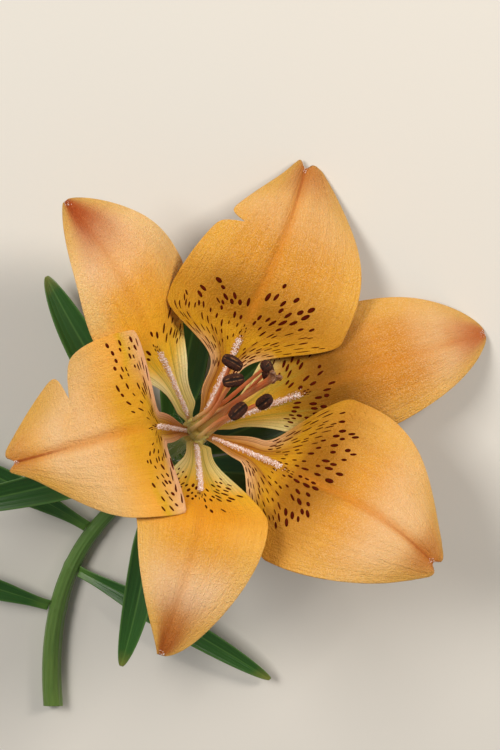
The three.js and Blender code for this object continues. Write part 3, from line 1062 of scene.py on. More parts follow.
@dataclass
class Blade:
    """Flat organ with two faces that meet in a thin rounded margin."""

    MARGIN_COLUMNS = (0.003, 0.008, 0.016, 0.03)
    INNER_REACH = 0.955
    END_ROWS = (0.0015, 0.004)
    TIP_CROWDING = 1.25
    STEP = 0.001

    name: str
    rows: int = 170
    columns: int = 84
    thick: float = 0.7
    thin: float = 0.35
    rim: float = 0.4

    def half_width(self, t: Array, u: Array) -> Array:
        """Half width in millimetres at t along the blade, on the side of u."""
        raise NotImplementedError

    def surface(self, t: Array, u: Array) -> Array:
        """Middle surface in its own millimetres, t from foot to tip and u from -1 to 1."""
        raise NotImplementedError

    def span(self) -> float:
        """Length of the blade in millimetres."""
        raise NotImplementedError

    def settle(self, points: Array) -> Array:
        """Takes places on the blade to the row's metres."""
        raise NotImplementedError

    def drawn(self, t: Array, u: Array) -> Array:
        """Part of the way across at which its markings are drawn, from -1 to 1."""
        return np.broadcast_to(u, np.broadcast(t, u).shape)

    def relief(self, t: Array, u: Array) -> Array:
        """Height of the folds that both faces share."""
        return np.zeros(np.broadcast(t, u).shape)

    def above(self, t: Array, u: Array) -> Array:
        """Extra height of the upper face alone."""
        return np.zeros(np.broadcast(t, u).shape)

    def under(self, t: Array, u: Array) -> Array:
        """Extra depth of the lower face alone."""
        return np.zeros(np.broadcast(t, u).shape)

    def more_rows(self) -> list[float]:
        """Further rows that the shape needs."""
        return []

    def normal(self, t: Array, u: Array) -> Array:
        """Finds the direction square to the middle surface, towards the upper face.

        Args:
            t: from 0 at the foot to 1 at the tip.
            u: from -1 to 1 across.

        Returns:
            The directions, one unit long.
        """
        ahead, behind = np.minimum(t + self.STEP, 1), np.maximum(t - self.STEP, 0)
        left, right = np.minimum(u + self.STEP, 1), np.maximum(u - self.STEP, -1)
        along = self.surface(ahead, u) - self.surface(behind, u)
        return unit(np.cross(along, self.surface(t, left) - self.surface(t, right)))

    def body(self, t: Array, u: Array) -> Array:
        """Works out the thickness of the blade, which closes to nothing at its margin.

        Args:
            t: from 0 at the foot to 1 at the tip.
            u: from -1 to 1 across.

        Returns:
            The thickness in millimetres.
        """
        edge = np.minimum((1 - np.abs(u)) * self.half_width(t, u), np.minimum(t, 1 - t) * self.span())
        closing = 1 - np.clip(edge / self.rim, 0, 1)
        return mix(self.thick, self.thin, u**2) * np.sqrt(np.maximum(1 - closing**2, 0))

    def face(self, t: Array, u: Array, upper: bool = True, lift: Array = 0.0) -> Array:
        """Finds places on one face.

        Args:
            t: from 0 at the foot to 1 at the tip.
            u: from -1 to 1 across.
            upper: whether the upper face is meant.
            lift: height above that face.

        Returns:
            The places, in the blade's own millimetres.
        """
        side = 1 if upper else -1
        extra = self.above(t, u) if upper else self.under(t, u)
        height = self.relief(t, u) + side * (self.body(t, u) / 2 + extra + lift)
        return self.surface(t, u) + self.normal(t, u) * height[..., None]

    def build(self) -> Piece:
        """Models the blade as one closed skin, both faces sewn along the margin.

        Returns:
            The piece.
        """
        inner = np.linspace(-self.INNER_REACH, self.INNER_REACH, self.columns)
        near = np.array(self.MARGIN_COLUMNS)
        u = np.concatenate([[-1], near - 1, inner, 1 - near[::-1], [1]])[None, :]
        even = 1 - (1 - np.linspace(0, 1, self.rows)) ** self.TIP_CROWDING
        ends = np.array(self.END_ROWS)
        t = np.unique(np.concatenate([even, ends, 1 - ends, self.more_rows()]))[:, None]
        upper, lower = self.face(t, u, True), self.face(t, u, False)
        points = np.concatenate([upper, lower[:, ::-1]], axis=1)
        across = np.broadcast_to(u, upper.shape[:2])
        along = np.broadcast_to(t, upper.shape[:2])
        marked = self.drawn(t, u)
        both = np.concatenate([marked, marked[:, ::-1]], axis=1)
        pattern = np.stack([(both + 1) / 2, np.concatenate([along, along], axis=1)], axis=-1)
        wide = self.half_width(t, u) * across
        facts = {"Across": np.concatenate([wide, wide[:, ::-1]], axis=1),
                 "Under": np.concatenate([np.zeros_like(across), np.ones_like(across)], axis=1)}
        return sewn_grid(self.name, self.settle(points), pattern, facts)


@dataclass(frozen=True)
class Notch:
    """Cut in a margin: its side, place along the blade, depth and length along the blade."""

    SHARPNESS = 1.2
    ROWS = 25
    REACH = 3.0

    side: int
    at: float
    depth: float
    length: float

    def cut(self, t: Array, u: Array) -> Array:
        """Width that it takes from its side of the blade, in millimetres."""
        depth = self.depth * np.exp(-np.abs((t - self.at) / self.length) ** self.SHARPNESS)
        return depth * ((u < 0) == (self.side == 1))

    def rows(self) -> list[float]:
        """Rows close together round it."""
        return [self.at + part * self.length for part in np.linspace(-self.REACH, self.REACH, self.ROWS)]


@dataclass(frozen=True)
class Pleat:
    """One wave of the soft lengthwise folds: its height, and its turns across, along and by seed."""

    height: float
    across: float
    shift: float = 0.0
    along: float = 0.0
    by_seed: float = 0.0

    def at(self, t: Array, u: Array, seed: int) -> Array:
        """Height of the wave at t along and u across."""
        return self.height * np.sin(self.across * u + self.shift + self.along * t + self.by_seed * seed)


PLEATS = (
    Pleat(1.0, 44.0, 1.3, 2.0, 1.0), Pleat(0.7, 71.0, 4.0, -3.0),
    Pleat(0.8, 27.0, by_seed=0.6), Pleat(0.5, 13.0, along=-5.0))


@dataclass(frozen=True)
class Spot:
    """One spot: its place along and across the tepal, and its half length and half width."""

    t: float
    u: float
    long: float
    wide: float


@dataclass(frozen=True)
class SpotField:
    """Where the dark spots of a tepal lie, as parts of its length and half width."""

    count: int
    start: float = 0.24
    end: Pair = (0.5, 0.5)
    reach: float = 0.85
    middle_start: float = 0.3
    dash: float = 0.28
    size: float = 1.0
    fall: float = 0.7
    lobe: float = 0.6
    bare: float = 0.0
    bare_from: float = 0.3
    splay: Pair = (0.0, 0.0)
    splay_from: float = 0.34
    dash_wide: float = 1.0
    dashes: int = 0
    dash_start: float = 0.19
    dash_end: float = 0.42


@dataclass(frozen=True)
class SpotRule:
    """How the spots of every tepal are drawn, with half lengths and half widths in millimetres."""

    tries: int = 60
    lines: int = 11
    straying: float = 0.2
    end_varies: Pair = (0.86, 1.0)
    middle_across: Pair = (0.1, 0.7)
    crowding: float = 1.5
    round_from: float = 0.1
    round_by: float = 0.06
    margin_across: Pair = (0.75, 1.0)
    long: Pair = (0.52, 0.74)
    wide: Pair = (0.16, 0.38)
    long_varies: Pair = (0.7, 1.35)
    wide_varies: Pair = (0.75, 1.2)
    gap: float = 0.3
    dash_across: Pair = (0.42, 0.93)
    dash_long: Pair = (0.5, 1.0)
    dash_wide: Pair = (0.17, 0.24)
    dash_gap: float = 0.2
    end_count: int = 6
    end_tries: int = 200
    end_seed: int = 200
    end_along: Pair = (0.325, 0.37)
    end_beside: float = 0.7
    end_long: Pair = (0.28, 0.45)
    end_wide: Pair = (0.11, 0.17)
    end_gap: Pair = (0.588, 0.42)
    narrowest: float = 3.2
    from_margin: float = 1.6
    turned_across: float = 0.45
    turned_along: float = 0.1
    widest_reach: float = 0.995
    lift: float = 0.01
    dome: float = 0.04


SPOTS = SpotRule()


@dataclass(frozen=True)
class Nectary:
    """Ridge on the claw and its papillae, in millimetres, with places as parts of the tepal's length."""

    height: float = 0.7
    half: float = 0.9
    start: Pair = (0.02, 0.05)
    end: Pair = (0.26, 0.34)
    last: float = 0.02
    seed: int = 100
    room: float = 0.04
    crowding: float = 0.46
    strays: int = 8
    strays_along: Pair = (0.29, 0.335)
    strays_beside: float = 0.55
    tips: int = 12
    tips_along: Pair = (0.975, 0.996)
    tips_beside: float = 0.45
    tips_shorter: float = 0.6
    reach: float = 0.9
    tall: Pair = (0.14, 0.32)
    thin: Pair = (0.08, 0.13)
    raised: float = 0.4
    leaning: float = 0.28


NECTARY = Nectary()

OUTER_FINISH = TepalFinish(
    claw="#ecd070", claw_margin="#f0e09a", claw_vein="#9c8f34", throat="#f2b624", mid_throat="#eeaa20",
    deep="#ea9e1c", blade="#eea834", margin="#f2ba58", fringe="#efaa34", blush="#a03c12", blush_from=0.78,
    blush_amount=0.9, blush_across=(0.22, 0.88), streak=0.15, rib=0.25)
# The inner throat and the deep band beyond it are dark golden brown: partly the tepals' own colour, partly
# painted shade on the walls of the funnel.
INNER_FINISH = TepalFinish(
    claw="#c8861d", claw_margin="#fccb94", claw_vein="#8a401e", throat="#cc9612", mid_throat="#d69c16",
    deep="#b0760f", blade="#e09a2a", margin="#e8ac40", fringe="#cc8e24", blush="#a84c1c", blush_from=0.84,
    blush_amount=0.5)
SPOT_FINISH = PlainFinish("#440e05", "#5c1a0a", Shine(
    roughness=0.65, specular=0.2, specular_tint="#c06038", bump_distance=0.00003))
PAPILLA_FINISH = PlainFinish("#e6b296", "#ffffff", Shine(
    roughness=0.2, specular=0.8, bump_distance=0.00001), cloud=3000.0, amount=1.0)


@dataclass
class Tepal(Blade):
    """One tepal: narrow claw, blade and tip, with the values of the part's source."""

    STEPS = 200
    FOLD_LOW = (0.15, 0.42)
    FOLD_HIGH = (0.45, 0.95)
    LEAST_FOLD = 0.01
    TUCK_RISES = (0.2, 0.36)
    TUCK_FALLS = (0.5, 0.8)
    GROOVE_HALF = 1.6
    GROOVE_RISES = (0.33, 0.5)
    LOBE_FROM = 0.88
    LOBE_POWER = 1.5
    PLEAT_RISES = (0.36, 0.62)
    PLEAT_MARGIN = (0.7, 1.0)
    PLEAT_LOST = 0.7
    MIDRIB_HALF = 1.1
    MIDRIB_HEIGHT = 0.25
    MIDRIB_RISES = (0.1, 0.3)
    MIDRIB_FALLS = (0.8, 0.97)

    azimuth: float = 0.0
    length: float = 60.0
    half: Pair = (16.0, 16.0)
    foot: Pair = (3.4, -1.9)
    foot_half: float = 1.3
    claw_half: Pair = (3.2, 3.2)
    claw_end: Pair = (0.1, 0.1)
    shoulder: Pair = (0.5, 0.5)
    flare: Pair = (1.0, 1.0)
    widest: Pair = (0.5, 0.5)
    taper: Pair = (0.85, 0.85)
    tilt: Triple = (56.0, 60.0, 100.0)
    bend_low: Pair = (0.1, 0.5)
    bend_high: Pair = (0.45, 1.0)
    fold: Triple = (55.0, -14.0, -15.0)
    claw_fold: Pair = (0.0, 0.0)
    side_fold: Pair = (0.0, 0.0)
    tuck: Pair = (0.0, 0.0)
    sway: float = 0.0
    groove: float = 0.3
    tip_half: float = 0.8
    lobe: float = 0.0
    notches: tuple[Notch, ...] = ()
    pleat: float = 0.025
    spots: SpotField = SpotField(36)
    finish: TepalFinish = OUTER_FINISH
    slot: Slot = Slot.OUTER_TEPAL
    seed: int = 1

    def __post_init__(self) -> None:
        """Works out the line down the middle of the blade."""
        lean = self.lean((np.arange(self.STEPS) + 0.5) / self.STEPS)
        step = self.length / self.STEPS
        self.out = np.concatenate([[0], np.cumsum(np.sin(lean) * step)]) + self.foot[0]
        self.up = np.concatenate([[0], np.cumsum(np.cos(lean) * step)]) + self.foot[1]
        self.marks = np.linspace(0, 1, self.STEPS + 1)
        azimuth = math.radians(self.azimuth)
        self.radial = np.array([math.cos(azimuth), math.sin(azimuth), 0.0])
        self.sideways = np.array([-math.sin(azimuth), math.cos(azimuth), 0.0])

    def lean(self, t: Array) -> Array:
        """Angle of the midline from the bloom's axis, in radians."""
        low = mix(self.tilt[0], self.tilt[1], smooth(t, *self.bend_low))
        return np.radians(low + (self.tilt[2] - self.tilt[1]) * smooth(t, *self.bend_high))

    def span(self) -> float:
        """Length of the tepal in millimetres."""
        return self.length

    def side_width(self, t: Array, side: int) -> Array:
        """Works out the half width on one side: claw, flaring blade, narrowing tip.

        Args:
            t: from 0 at the foot to 1 at the tip.
            side: 0 or 1.

        Returns:
            The half width in millimetres, before the notches are cut.
        """
        claw, half, widest = self.claw_half[side], self.half[side], self.widest[side]
        flared = smooth(t, self.claw_end[side], self.shoulder[side]) ** self.flare[side]
        rising = mix(self.foot_half, claw, smooth(t, 0, self.claw_end[side])) + (half - claw) * flared
        outward = np.maximum(t - widest, 0) / (1 - widest)
        return rising * mix(self.tip_half / half, 1, np.maximum(1 - outward**2, 0) ** self.taper[side])

    def whole_width(self, t: Array, u: Array) -> Array:
        """Half width in millimetres at t, on the side of u, before its notches are cut."""
        return np.where(u >= 0, self.side_width(t, 0), self.side_width(t, 1))

    def half_width(self, t: Array, u: Array) -> Array:
        """Half width in millimetres at t, on the side of u."""
        return self.whole_width(t, u) - sum(notch.cut(t, u) for notch in self.notches)

    def drawn(self, t: Array, u: Array) -> Array:
        """Part of the way across as if there were no notches, so that the veins pass them straight."""
        return u * self.half_width(t, u) / self.whole_width(t, u)

    def surface(self, t: Array, u: Array) -> Array:
        """Finds the middle surface: the midline, folded across, with its groove, tucks and tip lobe.

        Args:
            t: from 0 at the foot to 1 at the tip.
            u: from -1 to 1 across.

        Returns:
            Places in the bloom's millimetres.
        """
        half, reach = self.whole_width(t, u), np.abs(self.drawn(t, u))
        middle = self.fold[1] + np.where(u >= 0, *self.side_fold)
        claw = self.fold[0] + np.where(u >= 0, *self.claw_fold)
        fold = (mix(claw, middle, smooth(t, *self.FOLD_LOW))
                + (self.fold[2] - middle) * smooth(t, *self.FOLD_HIGH))
        turn = np.radians(np.where(np.abs(fold) < self.LEAST_FOLD, self.LEAST_FOLD, fold))
        tucked = smooth(t, *self.TUCK_RISES) * (1 - smooth(t, *self.TUCK_FALLS))
        tuck = np.where(u >= 0, *self.tuck) * reach**2 * tucked
        groove = self.groove * bell(reach * half, 0, self.GROOVE_HALF) * smooth(t, *self.GROOVE_RISES)
        across = np.sign(u) * half * np.sin(turn * reach) / turn
        raised = half * (1 - np.cos(turn * reach)) / turn - tuck - groove
        lobed = smooth(t, self.LOBE_FROM, 1) ** self.LOBE_POWER
        forward = self.lobe * 4 * reach**2 * (1 - reach**2) * lobed
        lean = self.lean(t)
        out = np.interp(t, self.marks, self.out) + forward * np.sin(lean) - raised * np.cos(lean)
        up = np.interp(t, self.marks, self.up) + forward * np.cos(lean) + raised * np.sin(lean)
        aside = self.sway * self.length * t**2 + across
        out, up, aside = np.broadcast_arrays(out, up, aside)
        return (out[..., None] * self.radial + aside[..., None] * self.sideways
                + up[..., None] * np.array(UP))

    def relief(self, t: Array, u: Array) -> Array:
        """Raises soft lengthwise folds that grow towards the tip and follow the veins.

        Args:
            t: from 0 at the foot to 1 at the tip.
            u: from -1 to 1 across.

        Returns:
            Their height in millimetres.
        """
        u = self.drawn(t, u)
        waves = sum(pleat.at(t, u, self.seed) for pleat in PLEATS)
        kept = 1 - self.PLEAT_LOST * smooth(np.abs(u), *self.PLEAT_MARGIN)
        return self.pleat * waves * smooth(t, *self.PLEAT_RISES) * kept

    def above(self, t: Array, u: Array) -> Array:
        """Nectary ridge down the middle of the claw."""
        ridge = NECTARY.height * bell(u * self.half_width(t, u), 0, NECTARY.half)
        return ridge * smooth(t, *NECTARY.start) * (1 - smooth(t, *NECTARY.end))

    def under(self, t: Array, u: Array) -> Array:
        """Midrib that stands out of the lower face."""
        rib = self.MIDRIB_HEIGHT * bell(u * self.half_width(t, u), 0, self.MIDRIB_HALF)
        return rib * smooth(t, *self.MIDRIB_RISES) * (1 - smooth(t, *self.MIDRIB_FALLS))

    def more_rows(self) -> list[float]:
        """Rows close together where a notch is."""
        return [row for notch in self.notches for row in notch.rows()]

    def settle(self, points: Array) -> Array:
        """Takes the tepal to its place in the row, inside the frame's box."""
        return np.clip(STAND.place(points), *ROOM)

    def dress(self, effects: Effects) -> None:
        """Builds the tepal, its spots and its nectary, and gives them their finishes.

        Args:
            effects: the shared effects.
        """
        finish_piece(self.build(), self.finish.material(self.name, effects), self.slot, self.name)
        finish_piece(self.build_spots(), SPOT_FINISH.material(f"{self.name}_spot", effects), self.slot)
        papilla = PAPILLA_FINISH.material(f"{self.name}_nectary", effects)
        finish_piece(self.build_nectary(), papilla, self.slot)

    def spot_turn(self, t: Array, u: Array) -> Array:
        """Angle by which a spot is turned outwards from the length of the tepal, in radians."""
        splay = np.where(u >= 0, *self.spots.splay) * np.clip(u / SPOTS.turned_across, -1, 1)
        first = self.spots.splay_from
        return np.radians(splay) * smooth(t, first, first + SPOTS.turned_along)

    def is_free(self, chosen: list[Spot], spot: Spot, gap: float) -> bool:
        """Tells whether a spot fits beside those chosen already, inside the margin and off the midrib.

        Args:
            chosen: the spots so far.
            spot: the new one.
            gap: room to leave beside it.

        Returns:
            True when there is room.
        """
        half = float(self.half_width(np.array(spot.t), np.array(spot.u)))
        near_margin = (1 - abs(spot.u)) * half < spot.wide * SPOTS.from_margin
        on_midrib = spot.t > self.spots.bare_from and abs(spot.u) * half < self.spots.bare
        if half < SPOTS.narrowest or near_margin or on_midrib:
            return False
        turn = float(self.spot_turn(np.array(spot.t), np.array(spot.u)))
        for other in chosen:
            ahead, aside = (spot.t - other.t) * self.length, (spot.u - other.u) * half
            drawn = ahead * math.cos(turn) + aside * math.sin(turn)
            beside = aside * math.cos(turn) - ahead * math.sin(turn)
            room = spot.long + other.long + gap, spot.wide + other.wide + gap
            if (drawn / room[0]) ** 2 + (beside / room[1]) ** 2 < 1:
                return False
        return True

    def end_spots(self) -> list[Spot]:
        """Draws the small spots that crowd where the nectary ends.

        Returns:
            The spots.
        """
        draw = np.random.default_rng(self.seed + SPOTS.end_seed)
        found: list[Spot] = []
        placed: list[Pair] = []
        for _ in range(SPOTS.end_tries):
            t, aside = draw.uniform(*SPOTS.end_along), draw.uniform(-SPOTS.end_beside, SPOTS.end_beside)
            long, wide = draw.uniform(*SPOTS.end_long), draw.uniform(*SPOTS.end_wide)
            crowded = any(
                math.hypot((t - a) * self.length / SPOTS.end_gap[0], (aside - b) / SPOTS.end_gap[1]) <= 1
                for a, b in placed)
            if len(found) < SPOTS.end_count and not crowded:
                placed.append((t, aside))
                half = float(self.half_width(np.array(t), np.array(aside)))
                found.append(Spot(t, aside / half, long, wide))
        return found

    def add_dashes(self, chosen: list[Spot], full: int, draw: np.random.Generator) -> None:
        """Draws the long dashes at the sides of the claw.

        Args:
            chosen: the spots so far, which they join.
            full: number of spots to stop at.
            draw: the tepal's own random draw.
        """
        field = self.spots
        for _ in range(field.dashes * SPOTS.tries):
            if len(chosen) == full:
                break
            reach = draw.uniform(*SPOTS.dash_across)
            u = float(draw.choice((-reach, reach)))
            t = draw.uniform(field.dash_start, min(field.dash, field.dash_end))
            long, wide = draw.uniform(*SPOTS.dash_long), draw.uniform(*SPOTS.dash_wide) * field.dash_wide
            spot = Spot(t, u, long, wide)
            if self.is_free(chosen, spot, SPOTS.dash_gap):
                chosen.append(spot)

    def add_spots(self, chosen: list[Spot], full: int, draw: np.random.Generator) -> None:
        """Draws the spots of the throat, dashes near the claw and round further out.

        Args:
            chosen: the spots so far, which they join.
            full: number of spots to stop at.
            draw: the tepal's own random draw.
        """
        field = self.spots
        for _ in range(field.count * SPOTS.tries):
            if len(chosen) == full:
                break
            line = round(draw.uniform(-1, 1) * field.reach * SPOTS.lines)
            u = (line + draw.uniform(-SPOTS.straying, SPOTS.straying)) / SPOTS.lines
            reach = abs(u)
            end = (field.end[0 if u >= 0 else 1] * draw.uniform(*SPOTS.end_varies)
                   - field.fall * max(reach - field.lobe, 0))
            first = mix(field.middle_start, field.start, smooth(reach, *SPOTS.middle_across))
            t = first + (end - first) * draw.uniform(0, 1) ** SPOTS.crowding
            far = (smooth(t, field.dash - SPOTS.round_from, field.dash + SPOTS.round_by)
                   * (1 - smooth(reach, *SPOTS.margin_across) / 2))
            long = mix(*SPOTS.long, far) * draw.uniform(*SPOTS.long_varies) * field.size
            wide = mix(*SPOTS.wide, far) * draw.uniform(*SPOTS.wide_varies) * field.size
            spot = Spot(t, u, long, wide)
            if self.is_free(chosen, spot, SPOTS.gap):
                chosen.append(spot)

    def build_spots(self) -> Piece:
        """Lays the spots on the upper face, drawn out along its veins.

        Returns:
            All the spots of this tepal as one piece.
        """
        draw = np.random.default_rng(self.seed)
        chosen = self.end_spots()
        full = len(chosen) + self.spots.dashes
        self.add_dashes(chosen, full, draw)
        self.add_spots(chosen, full + self.spots.count, draw)
        deselect_all()
        bpy.ops.mesh.primitive_uv_sphere_add(segments=12, ring_count=4, radius=1)
        template = bpy.context.object
        right, front, top = vertices_of(template).T[:, None, :]
        rows = [(spot.t, spot.u, spot.long, spot.wide) for spot in chosen]
        t, u, long, wide = (column[:, None] for column in np.array(rows).T)
        half, turn = self.half_width(t, u), self.spot_turn(t, u)
        ahead, aside = front * long, right * wide
        t = t + (ahead * np.cos(turn) - aside * np.sin(turn)) / self.length
        u = u + (ahead * np.sin(turn) + aside * np.cos(turn)) / half
        u = np.clip(u, -SPOTS.widest_reach, SPOTS.widest_reach)
        places = self.face(t, u, True, SPOTS.lift + SPOTS.dome * top)
        return copies(f"{self.name}_spots", template, self.settle(places))

    def build_nectary(self) -> Piece:
        """Grows glistening papillae, which crowd the nectary ridge, and a few on the callus at the tip.

        Returns:
            The papillae as one piece.
        """
        draw = np.random.default_rng(self.seed + NECTARY.seed)
        t_low, t_high = NECTARY.start[0], NECTARY.end[1] - NECTARY.last
        count = round((t_high - t_low) * self.length * 2 * NECTARY.half / NECTARY.room)
        t = draw.uniform(t_low, t_high, count)
        beside = np.clip(draw.normal(0, NECTARY.crowding, count), -1.0, 1.0) * NECTARY.half
        strays, tips = NECTARY.strays, NECTARY.tips
        t = np.concatenate([
            t, draw.uniform(*NECTARY.strays_along, strays), draw.uniform(*NECTARY.tips_along, tips)])
        beside = np.concatenate([
            beside, draw.normal(0, NECTARY.strays_beside, strays),
            draw.normal(0, NECTARY.tips_beside, tips)])
        u = np.clip(beside / self.half_width(t, np.sign(beside)), -NECTARY.reach, NECTARY.reach)
        tall = draw.uniform(*NECTARY.tall, len(t))
        tall[-tips:] *= NECTARY.tips_shorter
        centre, normal = self.face(t, u, True, tall * NECTARY.raised), self.normal(t, u)
        lean = unit(normal + draw.normal(0, NECTARY.leaning, (len(t), 3)))
        first = unit(np.cross(lean, self.radial + 0.01))
        thin = draw.uniform(*NECTARY.thin, len(t))
        second = np.cross(lean, first)
        axes = np.stack([first * thin[:, None], second * thin[:, None], lean * tall[:, None]], axis=1)
        template = add_ball()
        places = centre[:, None, :] + vertices_of(template) @ axes
        return copies(f"{self.name}_nectary", template, self.settle(places))


@dataclass
class InnerTepal(Tepal):
    """Broad inner tepal with rolled claw margins and a lobed tip."""

    half: Pair = (23.0, 23.0)
    foot: Pair = (3.2, -1.2)
    claw_half: Pair = (4.6, 4.6)
    claw_end: Pair = (0.17, 0.17)
    shoulder: Pair = (0.42, 0.42)
    widest: Pair = (0.38, 0.38)
    taper: Pair = (0.65, 0.65)
    tilt: Triple = (53.0, 57.0, 105.0)
    fold: Triple = (70.0, 6.0, -25.0)
    groove: float = 1.0
    tip_half: float = 2.5
    lobe: float = 1.5
    pleat: float = 0.035
    finish: TepalFinish = INNER_FINISH
    slot: Slot = Slot.INNER_TEPAL


TEPALS = (
    # Its claw, throat and margins are paler than the other outer tepals': partly its own colour, partly
    # painted light on the claw and margins, which lie in shade. Its painted sheen is stronger and pinker.
    Tepal("tepal_outer_left", azimuth=131.5, length=65.0, sway=-0.036, tilt=(54.3, 59.3, 94.3),
          bend_high=(0.43, 1.0), claw_half=(3.4, 3.5), claw_end=(0.08, 0.065), shoulder=(0.5, 0.52),
          flare=(1.0, 1.6), half=(12.7, 20.8), widest=(0.5, 0.46), taper=(0.83, 0.78), side_fold=(1.0, 0.0),
          tuck=(2.5, 3.8),
          spots=SpotField(24, start=0.3, end=(0.4, 0.45), middle_start=0.33, size=1.25, dash=0.35,
                          fall=-0.03, lobe=0.1, splay=(20.0, 50.0), splay_from=0.2),
          finish=replace(OUTER_FINISH, claw="#fae68c", claw_margin="#fdf0b4", throat="#fcc630",
                         mid_throat="#f8bc2c", deep="#f4b028", blade="#f2ac3a", margin="#f8c878",
                         fringe="#fabc4c", blush="#a83c14", blush_from=0.67, painted_sheen=0.9,
                         painted_sheen_span=(0.58, 0.83), pale="#fad8b8"), seed=11),
    # Painted shade: this tepal's throat, the band beyond it and its margins there are dark brown-gold, the
    # shadow that the inner tepals beside it cast.
    Tepal("tepal_outer_right", azimuth=16.0, length=74.5, sway=0.024, tilt=(56.6, 61.7, 98.3),
          claw_half=(3.8, 3.2), claw_end=(0.09, 0.09), shoulder=(0.42, 0.49), flare=(0.75, 0.7),
          half=(18.6, 14.9), widest=(0.45, 0.5), taper=(0.66, 0.7), side_fold=(3.5, 0.0), tuck=(3.0, 3.0),
          spots=SpotField(46, end=(0.49, 0.47), size=1.05, fall=0.22, lobe=0.05, splay=(45.0, 15.0),
                          splay_from=0.2),
          finish=replace(OUTER_FINISH, claw="#dcaa34", throat="#b4820c", mid_throat="#a06c0a", deep="#8e5a08",
                         blade="#d68c24", margin="#e6ac4a", fringe="#7c4a06", blush="#c05628",
                         blush_from=0.8, blush_amount=0.7, painted_sheen=0.8, painted_sheen_span=(0.66, 0.93)), seed=12),
    Tepal("tepal_outer_front", azimuth=-104.0, length=63.4, sway=-0.003, tilt=(51.5, 54.8, 112.0),
          bend_high=(0.39, 0.6), claw_half=(3.9, 3.6), claw_end=(0.05, 0.06), shoulder=(0.47, 0.52),
          flare=(1.5, 1.05), half=(16.3, 15.1), widest=(0.42, 0.4), taper=(0.61, 1.16),
          side_fold=(40.0, -12.0), tuck=(0.0, 2.0),
          spots=SpotField(44, end=(0.44, 0.41), size=0.9, fall=0.1, lobe=0.1, splay=(65.0, 30.0),
                          splay_from=0.22),
          finish=replace(OUTER_FINISH, blush="#963c0c", blush_from=0.68, blush_amount=0.8, painted_sheen=0.8,
                         painted_sheen_span=(0.56, 0.77), pale="#fad6ae"), seed=13),
    InnerTepal("tepal_inner_back", azimuth=70.5, length=69.0, sway=-0.003, tilt=(54.4, 56.9, 98.7),
               bend_high=(0.49, 1.0), claw_half=(4.6, 3.7), claw_end=(0.13, 0.16), shoulder=(0.36, 0.45),
               flare=(2.5, 1.7), half=(21.0, 23.4), widest=(0.38, 0.52), taper=(1.1, 0.63),
               claw_fold=(-8.0, -2.0), side_fold=(-3.0, 9.0), notches=(Notch(0, 0.706, 5.0, 0.014),),
               spots=SpotField(62, end=(0.53, 0.6), reach=0.92, dash=0.42, size=1.25, bare=1.7, dashes=50,
                               splay=(70.0, 40.0)),
               finish=replace(INNER_FINISH, painted_sheen=0.62, painted_sheen_span=(0.64, 0.9)), seed=14),
    # Its deep band is darker still: painted shade.
    InnerTepal("tepal_inner_right", azimuth=-37.0, length=66.8, sway=0.012, tilt=(53.4, 56.8, 105.5),
               claw_end=(0.2, 0.175), shoulder=(0.42, 0.44), flare=(1.2, 0.87), half=(23.8, 22.6),
               widest=(0.51, 0.47), taper=(0.785, 0.72), claw_fold=(-1.0, -6.0), side_fold=(4.5, -36.0),
               spots=SpotField(80, end=(0.55, 0.52), reach=0.92, dash=0.4, size=1.15, fall=0.5, dashes=50,
                               splay=(30.0, 60.0)),
               finish=replace(INNER_FINISH, deep="#a66c0e", fringe="#dc9a34", margin="#eab050",
                              painted_sheen_span=(0.58, 0.84)), seed=15),
    # Its throat, blade and margins are paler than the other inner tepals': partly its own colour, partly
    # painted light on a tepal that the lamps leave dim.
    InnerTepal("tepal_inner_left", azimuth=194.0, length=55.3, sway=-0.037, tilt=(43.8, 49.0, 128.0),
               bend_high=(0.26, 0.58), claw_half=(4.6, 3.8), claw_end=(0.29, 0.28), shoulder=(0.36, 0.37),
               flare=(2.2, 2.0), half=(22.7, 23.6), widest=(0.35, 0.33), taper=(1.18, 0.72),
               claw_fold=(-11.0, -2.0), side_fold=(7.0, 10.0), notches=(Notch(1, 0.68, 8.0, 0.024),),
               spots=SpotField(66, start=0.33, end=(0.44, 0.5), reach=0.95, dash=0.49, size=1.2, fall=0.0,
                               bare=4.0, bare_from=0.37, splay=(105.0, 78.0), splay_from=0.24, dashes=12,
                               dash_wide=1.3, dash_start=0.34, dash_end=0.38),
               finish=replace(INNER_FINISH, claw="#c87c20", claw_margin="#f8c094", throat="#dcaa1e",
                              mid_throat="#dca61f", deep="#dca020", blade="#f2ac40", margin="#f4bc62",
                              fringe="#f0aa40", wing=0.34, painted_sheen=0.8, painted_sheen_span=(0.46, 0.78),
                              gold=(0.5, 0.86), tip_margin="#dca43c", blush="#9c3c14", blush_amount=0.3,
                              streak=0.8), seed=16),
)


# Stamens and pistil


